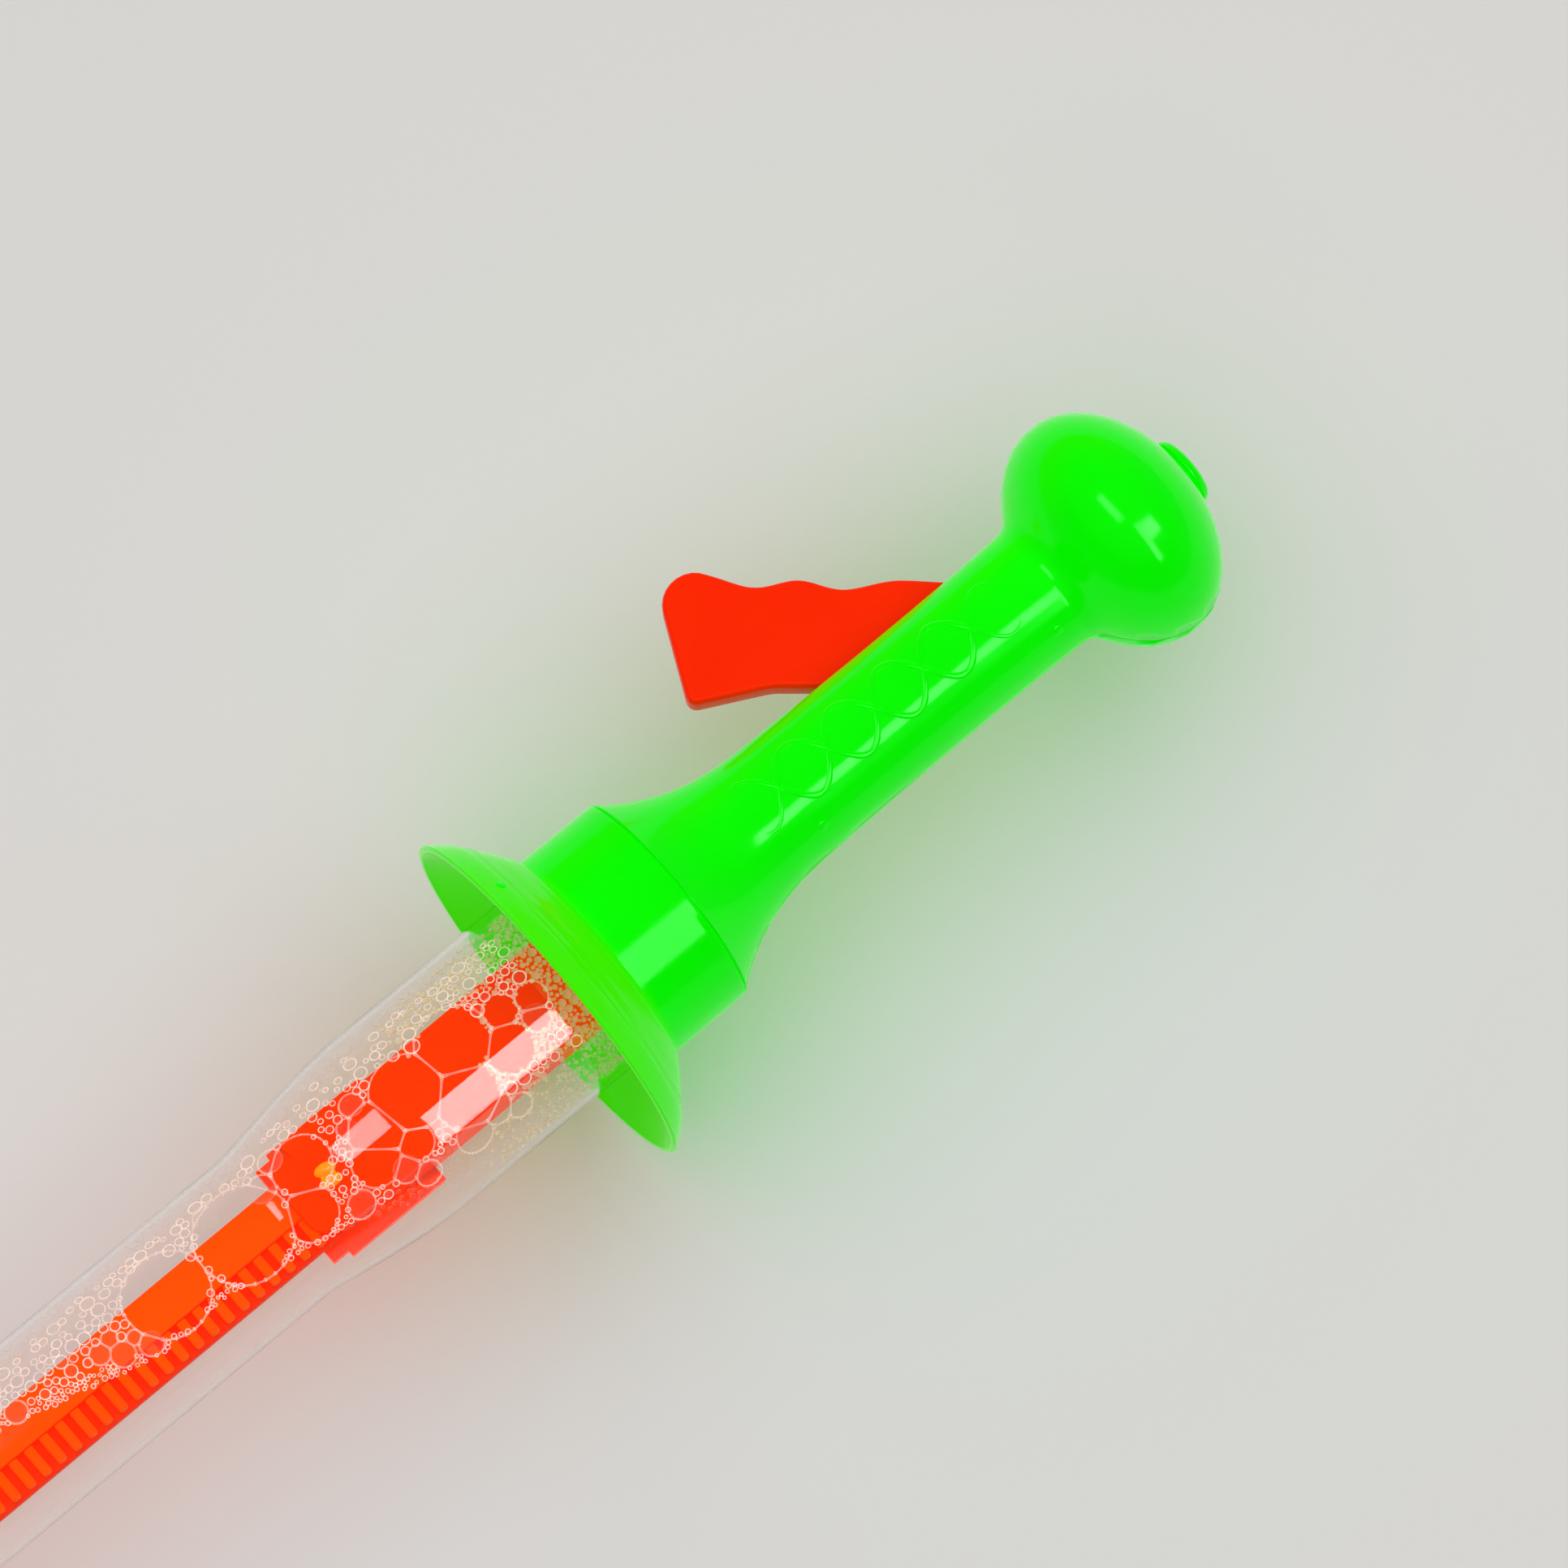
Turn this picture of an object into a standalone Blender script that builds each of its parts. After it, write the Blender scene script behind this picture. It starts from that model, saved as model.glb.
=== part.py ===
# Long bubble wand: a clear tube of bubble liquid, a bell-shaped drip guard and a
# hollow two-part handle.  Squeezing the trigger draws a rod back, and the rod pulls on
# the tip of two ribbed strips, which bow out into a long hoop once the tube is off.
#
# The wand lies along X.  The origin is the centre of the tube's flat base, +X runs to
# the pommel, the trigger stands out to +Y and its flat faces look up and down (Z).

import bpy
import bmesh
from math import asin, ceil, cos, pi, radians, sin, sqrt, tan
from mathutils import Matrix, Vector

for old in list(bpy.data.objects):
    bpy.data.objects.remove(old, do_unlink=True)

# Driving dimensions, in metres

FIT = 0.0003                    # gap between pieces that seat on each other
RUN = 0.0004                    # gap beside pieces that slide or turn

TUBE_LENGTH = 0.3135            # base to mouth
TUBE_BODY_RADIUS = 0.0171
TUBE_MOUTH_RADIUS = 0.0211
TUBE_MOUTH_LENGTH = 0.059       # wide stretch behind the mouth
TUBE_TAPER_LENGTH = 0.035
TUBE_WALL = 0.0011
TUBE_BASE_THICKNESS = 0.0016
TUBE_BASE_ROUND = 0.003
TUBE_SOCKET_DEPTH = 0.0236      # mouth beyond the plane of the guard's rim

GUARD_RADIUS = 0.0394
BELL_DEPTH = 0.0135
BELL_FULLNESS = 1.25            # 1 is a plain cone, 2 an ellipse
BELL_WALL = 0.0022              # measured along X
COLLAR_WALL = 0.0014            # outside the flange's seat
COLLAR_LENGTH = 0.0179
COLLAR_DRAFT = 0.0002

PLUG_SETBACK = 0.0075           # skirt from the rim plane, inside the tube
PLUG_WALL = 0.003
PLUG_FLOOR = 0.0036
FLANGE_THICKNESS = 0.0026
FLANGE_LEDGE = 0.0016           # flange beyond the tube's radius
SEAL_SECTION = 0.0019
SEAL_SETBACK = 0.012            # seal beyond the rim plane

STEM_HALF_WIDTH = 0.0102
STEM_PLATE = 0.002
STEM_RAIL = 0.0018
STEM_END = 0.0095               # front plate beyond the rivet
STEM_CORNER = 0.006
WING_HALF_WIDTH = 0.0136
WING_LENGTH = 0.029
WING_STEP = 0.0038
ROOT_HALF_WIDTH = 0.0125
ROOT_THICKNESS = 0.003
ROOT_LIP = 0.003                # root flange beyond the plates, up and down
RIVET_SETBACK = 0.0560          # rivet from the rim plane, toward the base
RIVET_RADIUS = 0.0016
RIVET_HEAD_RADIUS = 0.0031
RIVET_HEAD = 0.0015
RIVET_SLOT = 0.0009
RIVET_SLOT_ANGLE = 35           # degrees
GLAND_LENGTH = 0.006
GLAND_SETBACK = 0.012           # gland from the rim plane, toward the pommel

BLADE_CENTRE_Y = -0.002         # line between the two strips
BLADE_TOP = 0.0024
STRIP_WIDTH = 0.008
STRIP_WEB = 0.0016
RIB_HEIGHT = 0.002
RIB_LENGTH = 0.0021
RIB_PITCH = 0.0039
RIB_LEDGE = 0.0006              # web beyond the ribs' outer ends
TAB_LENGTH = 0.0105
TAB_CORNER = 0.003
TIP_CLEARANCE = 0.009           # strips from the tube's floor

ROD_Y = -0.005
ROD_RADIUS = 0.0016
ROD_TAB_LENGTH = 0.010
ROD_TAB_HALF_WIDTH = 0.0025
ROD_collar_radius = 0.0037
ROD_COLLAR_LENGTH = 0.002
ROD_COLLAR_SETBACK = 0.0055     # collar behind the seam
DRIVE_PIN_RADIUS = 0.0012
TIP_RIVET_RADIUS = 0.0011
TIP_RIVET_HEAD_RADIUS = 0.0024
TIP_RIVET_HEAD = 0.0011

SPRING_LENGTH = 0.0135
SPRING_TURNS = 6
SPRING_WIRE_RADIUS = 0.0005
SPRING_RADIUS = 0.0030

SHELL_WALL = 0.0018
FLARE_LENGTH = 0.034
FLARE_POWER = 2.6
GRIP_LENGTH = 0.0674
GRIP_RADIUS = 0.01335           # at the waist
GRIP_WAIST = 0.0004             # rise from the waist to the grip's ends
POMMEL_RADIUS = 0.0262
POMMEL_FRONT = 0.0195           # from the widest place toward the grip
POMMEL_BACK = 0.0182            # and toward the end
POMMEL_FILLET = 0.0034          # hollow round between grip and pommel
POMMEL_BORE = 0.0053
RETAINER_RADIUS = 0.0104        # opening of the ring behind the stem's root
RETAINER_THICKNESS = 0.002
NUB_RADIUS = 0.0075
NUB_THICKNESS = 0.0019
NUB_ROUND = 0.0023
NUB_EDGE = 0.0005               # straight side below the dome
NUB_SHANK = 0.008
BULKHEAD = 0.002

SCREW_RADIUS = 0.0011
SCREW_HEAD_RADIUS = 0.0023
SCREW_HEAD = 0.0016
SCREW_LENGTH = 0.0125
SCREW_SEAT = 0.0077             # head seat under the parting plane
BOSS_WALL = 0.0009

TRIGGER_THICKNESS = 0.006
TRIGGER_EDGE = 0.0011
TRIGGER_SETBACK = 0.0178        # pivot ahead of the pommel
TRIGGER_PIVOT_Y = 0.007
TRIGGER_TRAVEL = 25             # degrees
LUG_HALF_WIDTH = 0.003
PIVOT_PIN_RADIUS = 0.0015
PIVOT_PIN_HALF_LENGTH = 0.007

SIDES = 36                      # facets round the turned pieces
RIM_SIDES = 44                  # facets round the guard

# The collar closes round the plug's flange, which closes round the tube's mouth

flange_radius = TUBE_MOUTH_RADIUS + FLANGE_LEDGE
collar_radius = flange_radius + FIT + COLLAR_WALL

# Places along X

x_rim = TUBE_LENGTH - TUBE_SOCKET_DEPTH
x_flange = TUBE_LENGTH + 2 * FIT
x_flange_back = x_flange + FLANGE_THICKNESS
x_root = x_flange_back + FIT
x_root_back = x_root + ROOT_THICKNESS
x_seam = x_rim + BELL_DEPTH + COLLAR_LENGTH
x_handle = x_seam + FIT
x_grip = x_handle + FLARE_LENGTH
x_pommel = x_grip + GRIP_LENGTH
x_rivet = x_rim - RIVET_SETBACK
x_tip = TUBE_BASE_THICKNESS + TIP_CLEARANCE
x_strip_back = x_rivet + TAB_LENGTH / 2
x_tip_rivet = x_tip + TAB_LENGTH / 2
x_collar = x_seam + ROD_COLLAR_SETBACK
x_spring = x_collar + ROD_COLLAR_LENGTH + FIT
x_bulkhead = x_spring + SPRING_LENGTH + FIT
x_pivot = x_pommel - TRIGGER_SETBACK

# Levels of the stacked blade, from the front plate down to the rear plate

z_blade = BLADE_TOP - STRIP_WEB - RIB_HEIGHT
z_mid = (BLADE_TOP + z_blade) / 2
z_rod = z_blade - FIT - ROD_RADIUS
z_front = BLADE_TOP + FIT
z_front_top = z_front + STEM_PLATE
z_rear = z_rod - ROD_RADIUS - FIT
z_rear_under = z_rear - STEM_PLATE

# The drive: the lug stands square to the rod halfway through the trigger's travel

lever = TRIGGER_PIVOT_Y - ROD_Y
half_travel = radians(TRIGGER_TRAVEL) / 2
x_drive = x_pivot - lever * tan(half_travel)
rod_travel = 2 * lever * tan(half_travel)


# Materials

def plastic(name, colour, roughness, metallic=0.0, alpha=1.0):
    made = bpy.data.materials.new(name)
    made.use_nodes = True
    shader = made.node_tree.nodes["Principled BSDF"]
    shader.inputs["Base Color"].default_value = (*colour, 1.0)
    shader.inputs["Roughness"].default_value = roughness
    shader.inputs["Metallic"].default_value = metallic
    shader.inputs["Alpha"].default_value = alpha
    made.diffuse_color = (*colour, alpha)
    return made


green = plastic("neon green plastic", (0.02, 0.80, 0.0), 0.28)
orange = plastic("orange red plastic", (1.0, 0.02, 0.0), 0.30)
strip_orange = plastic("orange strip plastic", (1.0, 0.08, 0.0), 0.35)
amber = plastic("amber plastic", (1.0, 0.30, 0.01), 0.30)
clear = plastic("clear plastic", (0.95, 0.97, 0.97), 0.05, alpha=0.25)
rubber = plastic("pale seal rubber", (0.75, 0.75, 0.72), 0.60)
steel = plastic("bright steel", (0.62, 0.63, 0.65), 0.25, metallic=1.0)


# Helpers: each takes real coordinates and returns one object with its origin at a place

def finish(name, bm, material, origin=(0.0, 0.0, 0.0), helper=False):
    bmesh.ops.recalc_face_normals(bm, faces=bm.faces)
    if bm.calc_volume(signed=True) < 0:
        bmesh.ops.reverse_faces(bm, faces=bm.faces)
    at = Vector(origin)
    bmesh.ops.translate(bm, vec=-at, verts=bm.verts)
    mesh = bpy.data.meshes.new(name)
    bm.to_mesh(mesh)
    bm.free()
    mesh.shade_smooth()
    mesh.set_sharp_from_angle(angle=radians(35))
    made = bpy.data.objects.new(name, mesh)
    made.location = at
    bpy.context.scene.collection.objects.link(made)
    if helper:
        made.hide_render = True
        made.display_type = 'WIRE'
    else:
        mesh.materials.append(material)
    return made


def boolean(target, other, operation):
    step = target.modifiers.new(other.name, 'BOOLEAN')
    step.operation = operation
    step.solver = 'EXACT'
    step.object = other


def cut(target, *others):
    for other in others:
        boolean(target, other, 'DIFFERENCE')


def fuse(target, *others):
    for other in others:
        boolean(target, other, 'UNION')


def add_box(bm, low, high):
    made = bmesh.ops.create_cube(bm, size=1.0)["verts"]
    size = Vector(high) - Vector(low)
    centre = (Vector(high) + Vector(low)) / 2
    bmesh.ops.transform(bm, verts=made, matrix=Matrix.Translation(centre) @ Matrix.Diagonal((*size, 1.0)))


def add_rod(bm, start, end, radius, sides=16, roll=0.0):
    along = Vector(end) - Vector(start)
    turn = Vector((0.0, 0.0, 1.0)).rotation_difference(along).to_matrix().to_4x4()
    place = Matrix.Translation((Vector(start) + Vector(end)) / 2) @ turn @ Matrix.Rotation(roll, 4, 'Z')
    bmesh.ops.create_cone(bm, cap_ends=True, segments=sides, radius1=radius, radius2=radius,
                          depth=along.length, matrix=place)


def box(name, low, high, material=None, helper=True):
    bm = bmesh.new()
    add_box(bm, low, high)
    return finish(name, bm, material, helper=helper)


def upright(name, x, y, spans, helper=True, material=None, sides=16):
    # one or more posts along Z at a place, each (bottom, top, radius)
    bm = bmesh.new()
    for bottom, top, radius in spans:
        add_rod(bm, (x, y, bottom), (x, y, top), radius, sides)
    return finish(name, bm, material, (x, y, 0.0), helper)


def sweep_rings(bm, profile, angles, closed, flip=1.0):
    # profile points (x, radius) carried round the X axis; a radius of 0 is one shared point
    rings = []
    for x, r in profile:
        if r < 1e-7:
            rings.append([bm.verts.new((x, 0.0, 0.0))] * len(angles))
        else:
            rings.append([bm.verts.new((x, r * cos(a), flip * r * sin(a))) for a in angles])
    steps = len(angles) if closed else len(angles) - 1
    for i in range(len(profile)):
        first, second = rings[i], rings[(i + 1) % len(profile)]
        for k in range(steps):
            j = (k + 1) % len(angles)
            corners = []
            for corner in (first[k], first[j], second[j], second[k]):
                if corner not in corners:
                    corners.append(corner)
            if len(corners) > 2:
                bm.faces.new(corners)
    if not closed:
        bm.faces.new([ring[0] for ring in rings])
        bm.faces.new([ring[-1] for ring in rings])


def turned(name, profile, material=None, sides=SIDES, origin=(0.0, 0.0, 0.0), helper=False):
    bm = bmesh.new()
    sweep_rings(bm, profile, [2 * pi * k / sides for k in range(sides)], True)
    return finish(name, bm, material, origin, helper)


def half_turned(name, profile, material, up):
    bm = bmesh.new()
    sweep_rings(bm, profile, [pi * k / (SIDES // 2) for k in range(SIDES // 2 + 1)], False, up)
    bmesh.ops.translate(bm, vec=(0.0, 0.0, up * FIT / 2), verts=bm.verts)
    return finish(name, bm, material)


def rounded(corners, turn_step=radians(15)):
    # an outline from (x, y, radius) corners, each rounded by an arc
    points = []
    for i, (x, y, radius) in enumerate(corners):
        here = Vector((x, y))
        back = (Vector(corners[i - 1][:2]) - here).normalized()
        ahead = (Vector(corners[(i + 1) % len(corners)][:2]) - here).normalized()
        if radius <= 0:
            points.append(here)
            continue
        half = back.angle(ahead) / 2
        centre = here + (back + ahead).normalized() * (radius / sin(half))
        begin = here + back * (radius / tan(half)) - centre
        end = here + ahead * (radius / tan(half)) - centre
        sweep = begin.angle_signed(end)
        count = max(2, ceil(abs(sweep) / turn_step))
        for k in range(count + 1):
            points.append(centre + Matrix.Rotation(-sweep * k / count, 2) @ begin)
    return points


def add_plate(bm, outline, bottom, top):
    face = bm.faces.new([bm.verts.new((p[0], p[1], bottom)) for p in outline])
    raised = bmesh.ops.extrude_face_region(bm, geom=[face])["geom"]
    bmesh.ops.translate(bm, vec=(0.0, 0.0, top - bottom),
                        verts=[v for v in raised if isinstance(v, bmesh.types.BMVert)])


def plate(name, outline, bottom, top, material=None, origin=(0.0, 0.0, 0.0), helper=False):
    bm = bmesh.new()
    add_plate(bm, outline, bottom, top)
    return finish(name, bm, material, origin, helper)


# Tube: one blown piece with a flat base, a narrow body, a smooth taper and a wide mouth

def tube_radius(x):
    begin = TUBE_LENGTH - TUBE_MOUTH_LENGTH - TUBE_TAPER_LENGTH
    u = min(1.0, max(0.0, (x - begin) / TUBE_TAPER_LENGTH))
    return TUBE_BODY_RADIUS + (TUBE_MOUTH_RADIUS - TUBE_BODY_RADIUS) * (1 - cos(pi * u)) / 2


taper_end = TUBE_LENGTH - TUBE_MOUTH_LENGTH
stations = [taper_end - TUBE_TAPER_LENGTH * (1 - k / 8) for k in range(9)] + [TUBE_LENGTH]
outer = [(0.0, 0.0)]
for k in range(5):
    a = pi / 2 * k / 4
    outer.append((TUBE_BASE_ROUND * (1 - cos(a)), TUBE_BODY_RADIUS - TUBE_BASE_ROUND * (1 - sin(a))))
outer += [(x, tube_radius(x)) for x in stations]
inner = [(x, tube_radius(x) - TUBE_WALL) for x in reversed(stations)]
bottom_round = TUBE_BASE_ROUND / 2
for k in range(4):
    a = pi / 2 * k / 3
    inner.append((TUBE_BASE_THICKNESS + bottom_round * (1 - sin(a)),
                  TUBE_BODY_RADIUS - TUBE_WALL - bottom_round * (1 - cos(a))))
inner.append((TUBE_BASE_THICKNESS, 0.0))
tube = turned("tube", outer + inner, clear)


# Guard: a thin bell, open toward the tube, with the collar that takes the tube's mouth

def bell_radius(x):
    u = min(1.0, max(0.0, x / BELL_DEPTH))
    rise = (1 - u ** BELL_FULLNESS) ** (1 / BELL_FULLNESS)
    return collar_radius + (GUARD_RADIUS - collar_radius) * rise


socket_radius = TUBE_MOUTH_RADIUS + RUN
bell_floor = BELL_DEPTH - BELL_WALL
bell_outside = [(x_rim + BELL_DEPTH * sin(pi / 2 * k / 7), bell_radius(BELL_DEPTH * sin(pi / 2 * k / 7)))
                for k in range(8)]
bell_inside = [(x_rim + bell_floor * sin(pi / 2 * k / 6),
                bell_radius(bell_floor * sin(pi / 2 * k / 6) + BELL_WALL)) for k in range(7)]
guard = turned("guard", bell_outside + [
    (x_seam, collar_radius - COLLAR_DRAFT),
    (x_seam, flange_radius + FIT),
    (x_flange - FIT, flange_radius + FIT),
    (x_flange - FIT, socket_radius),
    (x_rim + bell_floor, socket_radius)] + bell_inside[::-1], green, RIM_SIDES)

# Neck plug: the cup that closes the tube, with a flange held behind the collar's step

plug_radius = TUBE_MOUTH_RADIUS - TUBE_WALL - RUN
seal_circle = TUBE_MOUTH_RADIUS - TUBE_WALL - FIT / 2 - SEAL_SECTION / 2
groove_floor = seal_circle - SEAL_SECTION / 2 - FIT
groove_half = SEAL_SECTION / 2 + FIT
x_seal = x_rim + SEAL_SETBACK
x_floor = x_flange_back - FLANGE_THICKNESS - PLUG_FLOOR
neck_plug = turned("neck_plug", [
    (x_floor, 0.0), (x_floor, plug_radius - PLUG_WALL),
    (x_rim + PLUG_SETBACK, plug_radius - PLUG_WALL), (x_rim + PLUG_SETBACK, plug_radius),
    (x_seal - groove_half, plug_radius), (x_seal - groove_half, groove_floor),
    (x_seal + groove_half, groove_floor), (x_seal + groove_half, plug_radius),
    (x_flange, plug_radius), (x_flange, flange_radius),
    (x_flange_back, flange_radius), (x_flange_back, 0.0)], green)
cut(neck_plug, box("plug_opening",
                   (x_floor - 0.01, -STEM_HALF_WIDTH - FIT, z_rear_under - FIT),
                   (x_flange_back + 0.01, STEM_HALF_WIDTH + FIT, z_front_top + FIT)))
mouth_seal = turned("mouth_seal", [
    (x_seal + SEAL_SECTION / 2 * sin(a), seal_circle + SEAL_SECTION / 2 * cos(a))
    for a in [2 * pi * k / 6 for k in range(6)]], rubber)

# Stem: a channel and its lid, hooked behind the plug by their roots, riveted at the end

x_stem_end = x_rivet - STEM_END
x_wing_back = x_stem_end - WING_STEP / 3 + WING_LENGTH
w, s = WING_HALF_WIDTH, STEM_HALF_WIDTH
step_y = s + (w - s) * 0.6
wing = [(x_stem_end, step_y), (x_stem_end + WING_STEP, step_y), (x_stem_end + WING_STEP, w),
        (x_wing_back, w), (x_wing_back, s), (x_root_back, s)]
stem_rear = plate("stem_rear", wing + [(x, -y) for x, y in reversed(wing)], z_rear_under, z_rear, orange)
bm = bmesh.new()
for side in (-1, 1):
    low, high = sorted((side * s, side * (s - STEM_RAIL)))
    add_box(bm, (x_strip_back + RUN, low, z_rear - STEM_PLATE / 2), (x_root + ROOT_THICKNESS / 2, high, BLADE_TOP))
rails = finish("stem_rails", bm, None, helper=True)
rear_root = box("stem_rear_root", (x_root, -ROOT_HALF_WIDTH, z_rear_under - ROOT_LIP),
                (x_root_back, ROOT_HALF_WIDTH, BLADE_TOP))
spacer = upright("stem_spacer", x_rivet, 0.0, [
    (z_rear - STEM_PLATE / 2, z_blade - FIT, -ROD_Y - ROD_RADIUS - FIT)], sides=24)
rivet_hole = upright("rivet_hole", x_rivet, 0.0, [(z_rear_under - 0.01, z_front_top + 0.01, RIVET_RADIUS + FIT)])
bm = bmesh.new()
add_rod(bm, (x_root - 0.01, ROD_Y, z_rod), (x_root_back + 0.01, ROD_Y, z_rod), ROD_RADIUS + RUN)
rod_way = finish("rod_way", bm, None, helper=True)
fuse(stem_rear, rails, rear_root, spacer)
cut(stem_rear, rivet_hole, rod_way)

lid = rounded([(x_stem_end, -s, STEM_CORNER), (x_root_back, -s, 0), (x_root_back, s, 0), (x_stem_end, s, STEM_CORNER)])
stem_front = plate("stem_front", lid, z_front, z_front_top, orange)
fuse(stem_front, box("stem_front_root", (x_root, -ROOT_HALF_WIDTH, z_front),
                     (x_root_back, ROOT_HALF_WIDTH, z_front_top + ROOT_LIP)))
cut(stem_front, rivet_hole)

# Rod gland: a rubber block across the channel that wipes the rod

gland_half = s - STEM_RAIL - FIT
rod_gland = box("rod_gland", (x_rim + GLAND_SETBACK, -gland_half, z_rear + FIT),
                (x_rim + GLAND_SETBACK + GLAND_LENGTH, gland_half, BLADE_TOP), rubber, helper=False)
bm = bmesh.new()
add_rod(bm, (x_rim + GLAND_SETBACK - 0.01, ROD_Y, z_rod),
        (x_rim + GLAND_SETBACK + GLAND_LENGTH + 0.01, ROD_Y, z_rod), ROD_RADIUS + FIT)
cut(rod_gland, finish("gland_bore", bm, None, helper=True))

# Strips: two alike, one turned over, so that one shows its smooth web and one its ribs.
# Their end tabs lie over each other on the rivet and on the tip rivet.

def strip(name, turned_over):
    inner_y = BLADE_CENTRE_Y + FIT / 2
    outer_y = inner_y + STRIP_WIDTH
    far_y = 2 * BLADE_CENTRE_Y - outer_y
    web = rounded([(x_tip, far_y, TAB_CORNER), (x_tip + TAB_LENGTH, far_y, TAB_CORNER / 2),
                   (x_tip + TAB_LENGTH, inner_y, 0), (x_strip_back - TAB_LENGTH, inner_y, 0),
                   (x_strip_back - TAB_LENGTH, far_y, TAB_CORNER / 2), (x_strip_back, far_y, TAB_CORNER),
                   (x_strip_back, outer_y, TAB_CORNER), (x_tip, outer_y, TAB_CORNER)], radians(30))
    made = plate(name, web, BLADE_TOP - STRIP_WEB, BLADE_TOP, strip_orange)
    ribs = bmesh.new()
    begin = x_tip + TAB_LENGTH + RIB_LENGTH
    span = x_strip_back - TAB_LENGTH - RIB_LENGTH - begin
    count = int((span - RIB_LENGTH) / RIB_PITCH) + 1
    begin += (span - RIB_LENGTH - (count - 1) * RIB_PITCH) / 2
    for k in range(count):
        x = begin + k * RIB_PITCH
        add_box(ribs, (x, inner_y, z_blade), (x + RIB_LENGTH, outer_y - RIB_LEDGE, BLADE_TOP - STRIP_WEB / 2))
    ribs = finish(name + "_ribs", ribs, None, helper=True)
    fuse(made, ribs)
    if turned_over:
        over = (Matrix.Translation((0.0, BLADE_CENTRE_Y, z_mid)) @ Matrix.Rotation(pi, 4, 'X')
                @ Matrix.Translation((0.0, -BLADE_CENTRE_Y, -z_mid)))
        made.matrix_world = over
        ribs.matrix_world = over
    cut(made, rivet_hole, tip_hole)
    return made


tip_hole = upright("tip_hole", x_tip_rivet, ROD_Y, [(z_rod - 0.01, BLADE_TOP + 0.01, TIP_RIVET_RADIUS + FIT)])
strip_upper = strip("strip_upper", False)
strip_lower = strip("strip_lower", True)

# Rivets: the one at the stem has a split snap head, the one at the tip two plain heads

z_head = z_front_top + FIT
base_rivet = upright("base_rivet", x_rivet, 0.0, [(z_rear_under - FIT, z_head + RIVET_HEAD, RIVET_RADIUS)],
                     False, amber)
rivet_heads = upright("rivet_heads", x_rivet, 0.0, [
    (z_head, z_head + RIVET_HEAD, RIVET_HEAD_RADIUS),
    (z_rear_under - FIT - RIVET_HEAD, z_rear_under - FIT, RIVET_HEAD_RADIUS)], sides=24)
rivet_split = box("rivet_split", (-RIVET_HEAD_RADIUS * 2, -RIVET_SLOT / 2, z_front),
                  (RIVET_HEAD_RADIUS * 2, RIVET_SLOT / 2, z_head + 2 * RIVET_HEAD))
rivet_split.location = (x_rivet, 0.0, 0.0)
rivet_split.rotation_euler = (0.0, 0.0, radians(RIVET_SLOT_ANGLE))
fuse(base_rivet, rivet_heads)
cut(base_rivet, rivet_split)

z_tab_under = z_rod - ROD_RADIUS
tip_rivet = upright("tip_rivet", x_tip_rivet, ROD_Y, [
    (z_tab_under - FIT, BLADE_TOP + FIT, TIP_RIVET_RADIUS)], False, amber)
tip_heads = upright("tip_heads", x_tip_rivet, ROD_Y, [
    (BLADE_TOP + FIT, BLADE_TOP + FIT + TIP_RIVET_HEAD, TIP_RIVET_HEAD_RADIUS),
    (z_tab_under - FIT - TIP_RIVET_HEAD, z_tab_under - FIT, TIP_RIVET_HEAD_RADIUS)])
fuse(tip_rivet, tip_heads)

# Pull rod: round, with a flat tab at each end and a collar for the spring

bm = bmesh.new()
add_rod(bm, (x_tip_rivet, ROD_Y, z_rod), (x_drive, ROD_Y, z_rod), ROD_RADIUS, 12, pi / 12)
pull_rod = finish("pull_rod", bm, orange, (x_drive, ROD_Y, z_rod))
bm = bmesh.new()
for x in (x_tip_rivet, x_drive):
    toward = 1 if x == x_tip_rivet else -1
    low, high = sorted((x - toward * ROD_TAB_HALF_WIDTH, x + toward * (ROD_TAB_LENGTH - ROD_TAB_HALF_WIDTH)))
    add_box(bm, (low, ROD_Y - ROD_TAB_HALF_WIDTH, z_tab_under), (high, ROD_Y + ROD_TAB_HALF_WIDTH, z_rod + ROD_RADIUS))
rod_tabs = finish("rod_tabs", bm, None, helper=True)
bm = bmesh.new()
add_rod(bm, (x_collar, ROD_Y, z_rod), (x_collar + ROD_COLLAR_LENGTH, ROD_Y, z_rod), ROD_collar_radius, 20)
rod_collar = finish("rod_collar", bm, None, helper=True)
drive_hole = upright("drive_hole", x_drive, ROD_Y, [(z_rod - 0.01, z_rod + 0.01, DRIVE_PIN_RADIUS + FIT / 2)])
fuse(pull_rod, rod_tabs, rod_collar)
cut(pull_rod, drive_hole, tip_hole)
drive_pin = upright("drive_pin", x_drive, ROD_Y, [
    (z_tab_under, TRIGGER_THICKNESS / 2, DRIVE_PIN_RADIUS)], False, steel)

# Return spring: one wire wound round the rod between the collar and the bulkhead

def spring_points():
    count = SPRING_TURNS * 9
    reach = SPRING_LENGTH - 2 * SPRING_WIRE_RADIUS
    for k in range(count + 1):
        a = 2 * pi * k / 9
        yield Vector((SPRING_WIRE_RADIUS + reach * k / count, SPRING_RADIUS * cos(a), SPRING_RADIUS * sin(a)))


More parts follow.
